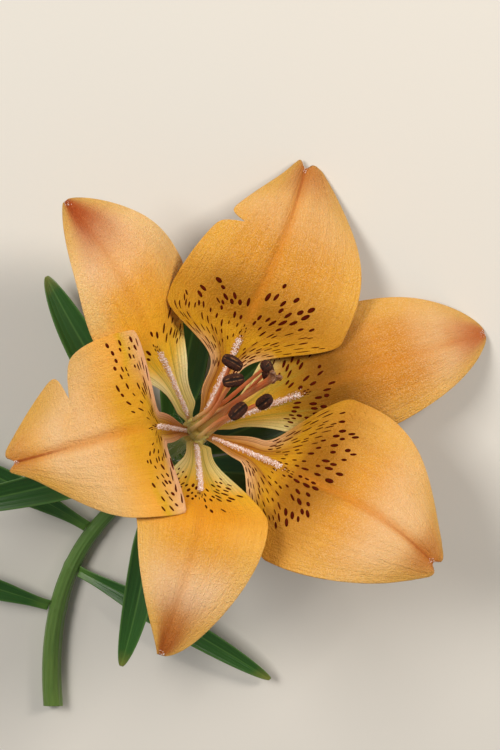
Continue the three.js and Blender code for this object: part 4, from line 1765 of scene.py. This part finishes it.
@dataclass
class Stamen:
    """Filament with its anther, as in the part's source; angles round an anther start at its side."""

    CORNERS = 16
    ROUND_FROM = 0.985
    SEAT_DEPTH = 0.25
    DENTS = (0.05, 0.03)
    WAVES = (2.0, 50.0)
    OUTER_FACE = TURN / 4
    BACK_FACE = TURN * 0.75
    SIDE_FACES = (0.0, TURN / 2, TURN)
    SEAM_HALF = 0.26
    SLIT_HALF = 0.16
    SLIT_DEPTH = 0.16
    BACK_HALF = 0.3
    BACK_DEPTH = 0.12
    ROUGH = 0.025
    LIP_PLACE = (0.3, 0.07)
    LIP_END = 0.9
    PLUMPNESS = 0.6
    BEND = 0.12
    GRAINS = 420
    GRAIN_SEED = 40
    GRAIN_REACH = 0.93
    GRAIN_DEPTH = 0.99
    GRAIN_SIZES = (0.05, 0.11)
    SEAM_FREE = 0.25

    tepal: str
    azimuth: float
    place: Triple
    lie: Pair
    seed: int = 1
    rings: tuple[Pair, ...] = ((2.5, 0.4), (2.4, 5.0), (2.35, 13.0))
    radii: Triple = (0.6, 0.55, 0.4)
    length: float = 5.2
    width: float = 3.1
    depth: float = 2.4
    seam: float = 0.5

    def axes(self) -> tuple[Array, Array, Array]:
        """Works out how the anther lies.

        Returns:
            Directions of its length, its width and its outer face.
        """
        azimuth, elevation = (math.radians(angle) for angle in self.lie)
        level = math.cos(elevation)
        length = np.array([math.cos(azimuth) * level, math.sin(azimuth) * level, math.sin(elevation)])
        width = unit(np.cross(UP, length))
        return length, width, np.cross(length, width)

    def on_anther(self, part: Array, angle: Array, reach: Array) -> Array:
        """Finds places on the anther.

        Args:
            part: from -1 at one end to 1 at the other.
            angle: angle round it.
            reach: distance from its middle line, as a part of the smooth barrel's.

        Returns:
            The places, in the bloom's millimetres.
        """
        length, width, out = self.axes()
        plump = np.sqrt(np.maximum(1 - part**2, 0)) ** self.PLUMPNESS
        seam = self.seam * bell(angle, self.OUTER_FACE, self.SEAM_HALF)
        across = np.cos(angle) * reach * plump * self.width / 2
        away = (np.sin(angle) * reach * self.depth / 2 - seam) * plump
        bend = self.BEND * part**2 * self.length / 2 * plump
        return (np.array(self.place) + (part * self.length / 2)[..., None] * length
                + across[..., None] * width + (away - bend)[..., None] * out)

    def build_filament(self) -> Piece:
        """Models the slender stalk from the receptacle to the seat of the anther.

        Returns:
            The piece.
        """
        seat = np.array(self.place) - self.axes()[2] * (self.depth / 2 - self.SEAT_DEPTH)
        azimuth = math.radians(self.azimuth)
        outward = np.array([math.cos(azimuth), math.sin(azimuth), 0.0])
        rises = [outward * radius + np.array(UP) * height for radius, height in self.rings]
        path = Path(catmull_rom(np.array([*rises, seat])))
        even = np.linspace(0.01, self.ROUND_FROM, 60)
        part = np.concatenate([[0, 0.001], even, [0.993, 0.998, 1]])[:, None]
        closing = np.clip((part - self.ROUND_FROM) / (1 - self.ROUND_FROM), 0, 1)
        radius = np.interp(part, [0, 0.5, 1], self.radii) * np.sqrt(1 - closing**2) * (part > 0)
        angle = np.linspace(0, TURN, self.CORNERS + 1)[None, :]
        dents = self.DENTS[0] * np.abs(np.sin(self.WAVES[0] * angle + self.seed))
        swells = self.DENTS[1] * np.sin(self.WAVES[1] * part + self.seed)
        points = path.round(part[:, 0] * path.length, angle, radius * (1 - dents - swells), (1.0, 0.0, 0.0))
        return sewn_grid(f"filament_{self.tepal}", STAND.place(points), map_of(angle / TURN, part))

    def build_anther(self) -> Piece:
        """Models the barrel of four pollen sacs, with a seam down its outer face.

        Returns:
            The piece.
        """
        part = np.sin(np.linspace(-TURN / 4, TURN / 4, 49))[:, None]
        angle = np.linspace(0, TURN, 65)[None, :]
        seam = bell(angle, self.OUTER_FACE, self.SEAM_HALF)
        slits = sum(bell(angle, side, self.SLIT_HALF) for side in self.SIDE_FACES)
        back = bell(angle, self.BACK_FACE, self.BACK_HALF)
        draw = np.random.default_rng(self.seed)
        rough = draw.normal(0, self.ROUGH, (part.size, angle.size))
        rough[:, -1] = rough[:, 0]
        wrinkle = 0.02 * np.sin(26 * part + 3 * np.cos(angle + self.seed)) + 0.035 * np.sin(8 * angle)
        reach = 1 - self.SLIT_DEPTH * slits - self.BACK_DEPTH * back + rough + wrinkle
        points = self.on_anther(part, angle, reach)
        lips = bell(np.abs(angle - self.OUTER_FACE), *self.LIP_PLACE)
        # Seam marks the pale lines beside the seam; the second fact marks the slits, the back furrow and the
        # seam, which the finish darkens as painted shade.
        facts = {"Seam": lips * (np.abs(part) < self.LIP_END),
                 "GrooveShade": np.clip(slits + back + seam, 0, 1) * np.ones_like(part)}
        pattern = map_of(angle / TURN, (part + 1) / 2)
        return sewn_grid(f"anther_{self.tepal}", STAND.place(points), pattern, facts)

    def build_pollen(self) -> Piece:
        """Scatters the grains of pollen that cling to the sacs.

        Returns:
            The grains as one piece.
        """
        draw = np.random.default_rng(self.seed + self.GRAIN_SEED)
        part = draw.uniform(-self.GRAIN_REACH, self.GRAIN_REACH, self.GRAINS)
        angle = draw.uniform(0, TURN, self.GRAINS)
        keep = bell(angle, self.OUTER_FACE, self.SEAM_HALF) < self.SEAM_FREE
        centre = self.on_anther(part[keep], angle[keep], self.GRAIN_DEPTH)
        size = draw.uniform(*self.GRAIN_SIZES, len(centre))
        template = add_ball()
        places = centre[:, None, :] + vertices_of(template) * size[:, None, None]
        return copies(f"pollen_{self.tepal}", template, STAND.place(places))

    def dress(self, effects: Effects) -> None:
        """Builds the stamen and gives it its finishes.

        Args:
            effects: the shared effects.
        """
        stalk, anther, pollen = (f"{part}_{self.tepal}" for part in ("filament", "anther", "pollen"))
        finish_piece(self.build_filament(), STALK_FINISH.material(stalk, effects), Slot.FILAMENT, stalk)
        finish_piece(self.build_anther(), AntherFinish().material(anther, effects), Slot.ANTHER, anther)
        finish_piece(self.build_pollen(), POLLEN_FINISH.material(pollen, effects), Slot.ANTHER)


STALK_FINISH = AlongFinish(
    ((0.0, "#e2cf80"), (0.1, "#dcba74"), (0.24, "#da9458"), (0.5, "#d67038"), (1.0, "#c85822")), "#e8b084",
    Shine(roughness=0.38, subsurface=0.15, bump_distance=0.00004), lines=10.0, length=3.0)
POLLEN_FINISH = PlainFinish("#5a2a10", "#2b1007", Shine(roughness=0.8, specular=0.3, bump_distance=0.00002))

STAMENS = (
    Stamen("outer_left", 131.5, (-6.0, 4.5, 40.0), (-28.0, 0.0), 1),
    Stamen("outer_right", 15.0, (4.6, 4.4, 35.0), (100.0, 10.0), 2),
    Stamen("outer_front", -104.0, (-5.2, -7.0, 40.0), (42.0, 0.0), 3),
    Stamen("inner_back", 70.5, (1.5, 3.4, 42.0), (218.0, 55.0), 4),
    Stamen("inner_right", -37.0, (0.4, -5.2, 42.0), (38.0, 72.0), 5),
    Stamen("inner_left", 194.0, (-7.5, -1.0, 44.0), (14.0, 0.0), 6),
)


@dataclass
class Pistil:
    """Ridged ovary, slender style and three-lobed stigma."""

    RIBS = (6.0, 0.09)
    LOBES = 3
    FRILLS = (24.0, 0.06)
    OVARY_RISES = (0.5, 2.5)
    OVARY_FALLS = (15.0, 18.5)
    HEAD_FROM = 47.0
    HOLLOW = (51.8, 0.5, 1.3)
    LOBE_RISES = 0.25
    LAST_RING = 0.6
    FINISH = AlongFinish(
        ((0.0, "#e2cc70"), (0.2, "#cfb860"), (0.33, "#c98c48"), (0.5, "#cc6a30"), (0.9, "#c05020"),
         (0.95, "#8a3a1c"), (1.0, "#4a1d10")), "#dfa870",
        Shine(roughness=0.35, subsurface=0.2, bump_distance=0.00005), lines=18.0, length=5.0)

    heights: tuple[float, ...] = (0.4, 2, 9, 15, 18, 24, 38, 47, 50, 50.6, 51.5, 52.25)
    radii: tuple[float, ...] = (1.0, 1.3, 1.4, 1.25, 0.85, 0.75, 0.75, 0.85, 1.0, 1.3, 1.3, 0.78)
    lean: Pair = (-0.3, -2.0)
    stigma: float = 51.5
    lobe: float = 0.4

    def build(self) -> Piece:
        """Models the pistil from its foot to the stigma.

        Returns:
            The piece.
        """
        low, high = self.heights[0], self.heights[-1]
        even = np.linspace(low, high, 150)
        height = np.concatenate([[low, low], even[1:], [high, high]])
        radius = np.interp(height, self.heights, self.radii)
        radius[0], radius[-1], radius[-2] = 0.0, 0.0, self.radii[-1] * self.LAST_RING
        angle = np.linspace(0, TURN, 49)[None, :]
        height, radius = height[:, None], radius[:, None]
        ovary = smooth(height, *self.OVARY_RISES) * (1 - smooth(height, *self.OVARY_FALLS))
        head = smooth(height, self.HEAD_FROM, self.stigma)
        ribs = 1 - self.RIBS[1] * ovary * (1 + np.cos(self.RIBS[0] * angle)) / 2
        lobes = 1 + head * (self.lobe * np.cos(self.LOBES * angle)
                            - self.FRILLS[1] * (1 + np.cos(self.FRILLS[0] * angle)))
        reach = radius * ribs * lobes
        hollow_from, hollow_depth, hollow_half = self.HOLLOW
        hollow = hollow_depth * smooth(height, hollow_from, high) * (1 - reach / hollow_half)
        dip = head * self.LOBE_RISES * np.cos(self.LOBES * angle) - hollow
        aside = (height / self.stigma) ** 2
        points = np.stack(np.broadcast_arrays(
            self.lean[0] * aside + np.cos(angle) * reach, self.lean[1] * aside + np.sin(angle) * reach,
            height + dip), axis=-1)
        return sewn_grid("pistil", STAND.place(points), map_of(angle / TURN, height / high))

    def dress(self, effects: Effects) -> None:
        """Builds the pistil and gives it its finish."""
        finish_piece(self.build(), self.FINISH.material("pistil", effects), Slot.PISTIL, "pistil")


# Stem and leaves


@dataclass(frozen=True)
class Wool:
    """Woolly hairs on the neck below the bloom, in millimetres."""

    count: int = 200
    rings: int = 7
    seed: int = 7
    along: Pair = (2.0, 30.0)
    long: Pair = (1.2, 5.5)
    shorter_from: float = 9.0
    shorter: float = 0.55
    root: float = 0.93
    thin: float = 0.022
    floor: float = 0.3
    sag: float = 0.25
    wave: float = 2.4
    aside: float = 0.5
    drift: float = 0.7
    drift_power: float = 1.5
    ripple: Triple = (0.25, 7.0, 6.0)

    def build_strand(self) -> Piece:
        """Models one straight strand as a template, cut into rings so that it can bend.

        Returns:
            The strand, one unit long.
        """
        deselect_all()
        bpy.ops.mesh.primitive_cone_add(vertices=3, radius1=1, radius2=0.3, depth=1, location=(0, 0, 0.5))
        strand = bpy.context.object
        bpy.ops.object.transform_apply(location=True, rotation=False, scale=False)
        bpy.ops.object.mode_set(mode="EDIT")
        for step in range(1, self.rings):
            bpy.ops.mesh.select_all(action="SELECT")
            bpy.ops.mesh.bisect(plane_co=(0, 0, step / self.rings), plane_no=UP)
        bpy.ops.object.mode_set(mode="OBJECT")
        return strand


@dataclass
class Stem:
    """Receptacle, bent neck and the run along the table to the slanted cut."""

    RIBS = 11
    RIB_DEPTH = 0.05
    RIBS_RISE = (5.0, 14.0)
    INSIDE = 0.97
    COLLAR_HALF = 0.9
    COLLAR_HEIGHT = 0.14
    CUT_RINGS = (0.93, 0.9, 0.5, 0.0)
    CUT_HOLLOW = (0.08, 0.2)
    CUT_LENGTH = 4.0
    FLOOR = 0.005
    NECK_NARROWS = (0.0, 0.15)
    STEM_WIDENS = (0.3, 1.0)
    SKIN = AlongFinish(
        ((0.0, "#f0d878"), (0.04, "#e2d070"), (0.09, "#9fae50"), (0.3, "#56803a"), (1.0, "#6d8a40")),
        "#3f6428", Shine(roughness=0.45, subsurface=0.1, bump_distance=0.0001), lines=30.0, length=14.0,
        cut=("#cfd9a0", "#a9bd74"))
    WOOL_FINISH = PlainFinish(
        "#f4f1ea", "#ffffff", Shine(roughness=0.6, specular=0.3, bump_distance=0.00001))

    receptacle: tuple[Pair, ...] = (
        (0, 2.7), (0.6, 2.6), (2.4, 2.7), (3, 3.7), (3.8, 3.6), (5.5, 2.8), (9, 2.1))
    neck_radius: float = 1.9
    cut_radius: float = 2.7
    straight: float = 15.0
    bend_radius: float = 50.0
    bend_gap: float = 0.3
    run: float = 50.0
    sideways: float = 24.0
    cut_slant: float = 0.4
    sides: int = 40
    wool: Wool = Wool()

    def __post_init__(self) -> None:
        """Works out the line of the stem."""
        elevation = math.radians(STAND.axis_elevation)
        back = np.array([-math.cos(elevation), 0.0, -math.sin(elevation)])
        start = np.array(STAND.base)
        bend_start = start + back * self.straight
        reach = self.bend_radius * math.tan(elevation / 2)
        corner = bend_start + back * reach
        bend_end = np.array([corner[0] - reach, corner[1], self.neck_radius + self.bend_gap])
        corner[2] = bend_end[2]
        cut = np.array([bend_end[0] - self.run, bend_end[1] - self.sideways, self.cut_radius])
        turning = np.array([bend_end[0] - self.run / 2, bend_end[1], self.cut_radius])
        part = np.linspace(0, 1, 200)[:, None]
        pieces = [start + (bend_start - start) * part]
        for a, b, c in ((bend_start, corner, bend_end), (bend_end, turning, cut)):
            pieces.append((a * (1 - part) ** 2 + 2 * b * part * (1 - part) + c * part**2)[1:])
        self.path = Path(np.vstack(pieces))

    def radius(self, distance: Array) -> Array:
        """Works out how thick the stem is.

        Args:
            distance: distance from the receptacle.

        Returns:
            The radius in millimetres.
        """
        neck, start = self.receptacle[-1]
        along = (distance - neck) / (self.path.length - neck)
        narrowed = mix(start, self.neck_radius, smooth(along, *self.NECK_NARROWS))
        stem = mix(narrowed, self.cut_radius, smooth(along, *self.STEM_WIDENS))
        depths, radii = zip(*self.receptacle)
        return np.where(distance > neck, stem, np.interp(distance, depths, radii))

    def build(self, stations: list[float]) -> Piece:
        """Models the stem with fine ribs and a low collar below each leaf.

        Args:
            stations: distances along the stem where leaves stand.

        Returns:
            The piece.
        """
        length, last = self.path.length, len(self.CUT_RINGS)
        distance = np.concatenate([[0, 0], np.linspace(0.05, 9, 60), np.linspace(9.4, length, 260)])
        radius = self.radius(distance)[:, None]
        angle = np.linspace(0, TURN, self.sides * 2 + 1)[None, :]
        rising = smooth(distance, *self.RIBS_RISE)[:, None]
        ribs = self.RIB_DEPTH * rising * (1 + np.cos(self.RIBS * angle)) / 2
        collar = sum(bell(distance, station, self.COLLAR_HALF) for station in stations)[:, None]
        reach = radius * (self.INSIDE - ribs) + self.COLLAR_HEIGHT * collar
        reach[0] = 0
        reach = np.concatenate([reach, np.array(self.CUT_RINGS)[:, None] * radius[-1] * np.ones_like(angle)])
        distance = np.concatenate([distance, np.full(last, length)])
        points = self.path.round(distance, angle, reach, UP)
        end, tangent = self.path.at(np.array([length]))[0], self.path.tangent(np.array([length]))[0]
        lean = smooth(distance, length - self.CUT_LENGTH, length)[:, None] * (points[..., 2] - end[2])
        points = points - lean[..., None] * self.cut_slant * tangent
        points[-2:] -= tangent * np.array(self.CUT_HOLLOW)[:, None, None]
        points[..., 2] = np.maximum(points[..., 2], self.FLOOR)
        cut = np.concatenate([np.zeros(len(distance) - last), np.ones(last)])[:, None] * np.ones_like(angle)
        pattern = map_of(angle / TURN, (distance / length)[:, None])
        return sewn_grid("stem", points * MM, pattern, {"Cut": cut})

    def build_hairs(self) -> Piece:
        """Grows the white wool on the neck below the bloom: thin bent strands.

        Returns:
            The hairs as one piece.
        """
        wool = self.wool
        draw = np.random.default_rng(wool.seed)
        distance = draw.uniform(*wool.along, wool.count)
        angle = draw.uniform(0, TURN, wool.count)
        first, second = self.path.frames(distance, UP)
        out = np.cos(angle)[:, None] * first + np.sin(angle)[:, None] * second
        root = self.path.at(distance) + out * (self.radius(distance) * wool.root)[:, None]
        tangent = self.path.tangent(distance)
        side = np.cross(tangent, out)
        long = draw.uniform(*wool.long, wool.count)
        long[distance >= wool.shorter_from] *= wool.shorter
        curl = draw.uniform(-1.0, 1.0, (wool.count, 4))
        template = wool.build_strand()
        right, front, part = vertices_of(template).T[:, None, :]
        depth, turns, shift = wool.ripple
        outward = part * (1 - wool.sag * part) * long[:, None]
        aside = ((np.sin(wool.wave * part + curl[:, :1]) - np.sin(curl[:, :1]))
                 * (curl[:, 1] * long * wool.aside)[:, None] + right * wool.thin)
        along = ((curl[:, 2] * long * wool.drift)[:, None] * part**wool.drift_power
                 + depth * np.sin(turns * part + shift * curl[:, 3:]) * part + front * wool.thin)
        points = root[:, None, :] + sum(
            amount[..., None] * way[:, None, :]
            for amount, way in ((outward, out), (aside, side), (along, tangent)))
        points[..., 2] = np.maximum(points[..., 2], wool.floor)
        return copies("stem_hairs", template, points * MM)

    def dress(self, effects: Effects, stations: list[float]) -> None:
        """Builds the stem with its hairs and gives them their finishes."""
        finish_piece(self.build(stations), self.SKIN.material("stem", effects), Slot.STEM, "stem")
        finish_piece(self.build_hairs(), self.WOOL_FINISH.material("stem_hairs", effects), Slot.STEM)


STEM = Stem()


@dataclass
class Leaf(Blade):
    """Narrow leaf that arches out and down from the stem, as in the part's source."""

    STEPS = 60
    LIFT = 0.3
    SUNK = 0.1
    SETTLED = 0.45
    TAPER = 1.3
    VEINS = 7.0
    VEIN_HEIGHT = 0.03
    VEINS_RISE = (0.03, 0.15)
    KEEL_DEPTH = 0.16
    KEEL_HALF = 0.4
    KEEL_FALLS = (0.8, 1.0)
    MARGIN = (0.85, 1.0)
    FINISH = AlongFinish(
        ((0.0, "#5f8a38"), (0.12, "#336425"), (0.5, "#2a5620"), (0.9, "#386727"), (1.0, "#8a8f3e")),
        "#1e4218", Shine(roughness=0.34, subsurface=0.12, subsurface_depth=0.0008, bump_distance=0.00008),
        lines=22.0, length=2.5, edge="#5f8a42")

    at: float = 0.0
    heading: float = 0.0
    turn: float = 0.0
    rise: float = 0.0
    tip: float = 0.0
    length: float = 50.0
    half: float = 4.0
    fold: float = 32.0
    gap: float = 0.35
    foot_half: float = 1.6
    widest: float = 0.4
    tip_half: float = 0.35
    rows: int = 90
    columns: int = 26
    thick: float = 0.55
    thin: float = 0.35
    rim: float = 0.3

    def __post_init__(self) -> None:
        """Works out the line down the middle of the leaf."""
        foot, at = np.array([0.0]), np.array([self.at])
        start, tangent = self.forward(foot)[0], STEM.path.tangent(at)[0]
        outward = unit(start - tangent * np.dot(start, tangent))
        lift = self.gap + self.foot_half * abs(np.dot(self.across(foot)[0], outward)) + self.LIFT
        base = STEM.path.at(at)[0] + outward * (float(STEM.radius(at)[0]) + lift)
        steps = self.forward((np.arange(self.STEPS) + 0.5) / self.STEPS) * self.length / self.STEPS
        self.line = base + np.vstack([np.zeros(3), np.cumsum(steps, axis=0)])
        self.line[0] -= outward * (lift - self.SUNK)
        self.line[1] -= outward * (lift * self.SETTLED)
        self.marks = np.linspace(0, 1, self.STEPS + 1)

    def span(self) -> float:
        """Length of the leaf in millimetres."""
        return self.length

    def angles(self, t: Array) -> tuple[Array, Array]:
        """Heading in plan and rise of the midline, in radians."""
        return np.radians(self.heading + self.turn * t), np.radians(mix(self.rise, self.tip, t))

    def forward(self, t: Array) -> Array:
        """Direction of the midline."""
        heading, rise = self.angles(t)
        level = np.cos(rise)
        return np.stack([level * np.cos(heading), level * np.sin(heading), np.sin(rise)], axis=-1)

    def across(self, t: Array) -> Array:
        """Level direction across the leaf."""
        heading = self.angles(t)[0]
        return np.stack([-np.sin(heading), np.cos(heading), np.zeros_like(heading)], axis=-1)

    def half_width(self, t: Array, u: Array) -> Array:
        """Works out the half width, which is the same on both sides.

        Args:
            t: from 0 at the foot to 1 at the tip.
            u: from -1 to 1 across.

        Returns:
            The half width in millimetres.
        """
        outward = np.clip((t - self.widest) / (1 - self.widest), 0, 1)
        low = mix(self.foot_half, self.half, smooth(t, 0, self.widest))
        high = mix(self.tip_half, self.half, np.sqrt(1 - outward**2) ** self.TAPER)
        return np.where(t < self.widest, low, high) + 0 * u

    def surface(self, t: Array, u: Array) -> Array:
        """Finds the middle surface, which is folded up along its midline.

        Args:
            t: from 0 at the foot to 1 at the tip.
            u: from -1 to 1 across.

        Returns:
            Places in the row's millimetres.
        """
        fold, half, reach = math.radians(self.fold), self.half_width(t, u), np.abs(u)
        forward, along = self.forward(t), self.across(t)
        place = np.stack([np.interp(t, self.marks, self.line[:, k]) for k in range(3)], axis=-1)
        aside = np.sign(u) * half * np.sin(fold * reach) / fold
        raised = half * (1 - np.cos(fold * reach)) / fold
        return place + along * aside[..., None] + np.cross(forward, along) * raised[..., None]

    def relief(self, t: Array, u: Array) -> Array:
        """Raises parallel veins, and sinks a keel down the middle.

        Args:
            t: from 0 at the foot to 1 at the tip.
            u: from -1 to 1 across.

        Returns:
            Their height in millimetres.
        """
        veins = self.VEIN_HEIGHT * np.cos(u * self.VEINS * math.pi) * smooth(t, *self.VEINS_RISE)
        middle = bell(u * self.half_width(t, u), 0, self.KEEL_HALF)
        keel = self.KEEL_DEPTH * middle * (1 - smooth(t, *self.KEEL_FALLS))
        return (veins - keel) * (1 - smooth(np.abs(u), *self.MARGIN))

    def settle(self, points: Array) -> Array:
        """Takes the leaf to its place in the row, inside the frame's box."""
        return np.clip(points * MM, *ROOM)

    def dress(self, effects: Effects) -> None:
        """Builds the leaf and gives it its finish."""
        finish_piece(self.build(), self.FINISH.material(self.name, effects), Slot.LEAF, self.name)


LEAVES = (
    Leaf("leaf_1", at=24, heading=26, turn=4, rise=-4, tip=2, length=48, half=5.8),
    Leaf("leaf_2", at=24.5, heading=-26, turn=0, rise=-2, tip=0, length=46, half=5),
    Leaf("leaf_3", at=26, heading=75, turn=-6, rise=6, tip=-8, length=52, half=5.4),
    Leaf("leaf_4", at=27.5, heading=-53, turn=4, rise=3, tip=-10, length=48, half=6),
    Leaf("leaf_5", at=30, heading=-3, turn=0, rise=-2, tip=1, length=46, half=5.4),
    Leaf("leaf_6", at=28, heading=136, turn=10, rise=34, tip=0, length=56, half=4.4),
    Leaf("leaf_7", at=28.5, heading=-142, turn=-14, rise=30, tip=-6, length=52, half=4.2),
    Leaf("leaf_8", at=58, heading=92, turn=30, rise=16, tip=-16, length=54, half=3.8),
    Leaf("leaf_9", at=70, heading=-66, turn=-24, rise=18, tip=-18, length=58, half=3.7),
    Leaf("leaf_10", at=82, heading=104, turn=26, rise=20, tip=-20, length=44, half=3.4),
)


# Table, light and camera


@dataclass(frozen=True)
class Lamp:
    """Square soft light: its place and size in metres, power in watts and colour."""

    name: str
    place: Triple
    size: float
    power: float
    color: str

    def build(self, target: Vector) -> None:
        """Hangs the light so that it looks at the target.

        Args:
            target: place that it looks at.
        """
        data = bpy.data.lights.new(self.name, "AREA")
        data.shape = "SQUARE"
        data.size = self.size
        data.energy = self.power
        data.color = rgb(self.color)[:3]
        light = bpy.data.objects.new(self.name, data)
        bpy.context.collection.objects.link(light)
        light.location = self.place
        light.rotation_euler = (target - Vector(self.place)).to_track_quat("-Z", "Y").to_euler()


@dataclass
class Studio:
    """Pale table, soft lights and the camera."""

    LAMPS = (
        Lamp("key", (0.86, -0.12, 0.62), 0.3, 7.4, "#fff6ea"),
        Lamp("side", (0.07, 0.62, 0.82), 0.4, 6.0, "#fffaf2"))
    BLOOM = (0.02, 0.0, 0.03)
    SURROUNDINGS = ("#f4f4f2", 0.17)
    CLOUDS = (6.0, 900.0)

    table: float = 3.0
    tilt: float = 25.0
    bearing: float = 38.0
    distance: float = 620.0
    focal_pixels: float = 2542.0
    principal: Pair = (200.0, 428.0)
    picture: Pair = (500.0, 750.0)

    def view_axes(self) -> tuple[Vector, Vector, Vector]:
        """Works out the view down the bloom.

        Returns:
            Its right, its up and its back, in the row.
        """
        tilt, bearing = math.radians(self.tilt), math.radians(self.bearing)
        level = np.array([math.cos(bearing), math.sin(bearing), 0.0])
        axis = level * math.sin(tilt) + np.array(UP) * math.cos(tilt)
        down = level * math.cos(tilt) - np.array(UP) * math.sin(tilt)
        side = np.cross(axis, down)
        first = down * math.cos(bearing) - side * math.sin(bearing)
        second = down * math.sin(bearing) + side * math.cos(bearing)
        seen = STAND.turn() @ np.stack([first, second, axis], axis=1).T
        return Vector(seen[:, 0]), Vector(seen[:, 1]), Vector(seen[:, 2])

    def build_camera(self) -> None:
        """Sets the camera where the photograph was taken from."""
        right, up, back = self.view_axes()
        base = Vector(STAND.base) * MM
        aside = self.picture[0] / 2 - self.principal[0]
        above = self.principal[1] - self.picture[1] / 2
        look = (-back * self.focal_pixels + right * aside + up * above).normalized()
        data = bpy.data.cameras.new("camera")
        data.lens = self.focal_pixels / self.picture[1] * data.sensor_width
        camera = bpy.data.objects.new("camera", data)
        bpy.context.collection.objects.link(camera)
        across = look.cross(up).normalized()
        turn = Matrix((across, across.cross(look), -look)).transposed().to_4x4()
        camera.matrix_world = Matrix.Translation(base + back * self.distance * MM) @ turn
        bpy.context.scene.camera = camera

    def build_table(self) -> None:
        """Lays a pale table top under the flower."""
        deselect_all()
        bpy.ops.mesh.primitive_plane_add(size=self.table * 2)
        table = bpy.context.object
        table.name = "table"
        material, graph = new_material("table")
        place = graph.place()
        wide, fine = self.CLOUDS
        color = graph.mix(graph.noise(place, wide, 3.0), rgb("#e3e0da"), rgb("#e8e5df"))
        Shine(roughness=0.75, specular=0.2, bump_strength=0.1).shader(graph, color, graph.noise(place, fine))
        table.data.materials.append(material)

    def build_lights(self) -> None:
        """Sets the lights and the pale surroundings."""
        for lamp in self.LAMPS:
            lamp.build(Vector(self.BLOOM))
        world = bpy.data.worlds.new("studio")
        world.use_nodes = True
        color, strength = self.SURROUNDINGS
        background = world.node_tree.nodes["Background"].inputs
        background["Color"].default_value = rgb(color)
        background["Strength"].default_value = strength
        bpy.context.scene.world = world
        bpy.context.scene.view_settings.view_transform = "Standard"

    def build(self) -> None:
        """Sets the whole studio."""
        self.build_camera()
        self.build_table()
        self.build_lights()


def main() -> None:
    """Builds every piece of the flower and the studio round it."""
    logging.basicConfig(level=logging.INFO, format="%(message)s")
    Studio().build()
    effects = Effects()
    for tepal in TEPALS:
        tepal.dress(effects)
    for stamen in STAMENS:
        stamen.dress(effects)
    Pistil().dress(effects)
    STEM.dress(effects, [leaf.at for leaf in LEAVES])
    for leaf in LEAVES:
        leaf.dress(effects)


if __name__ == "__main__":
    main()
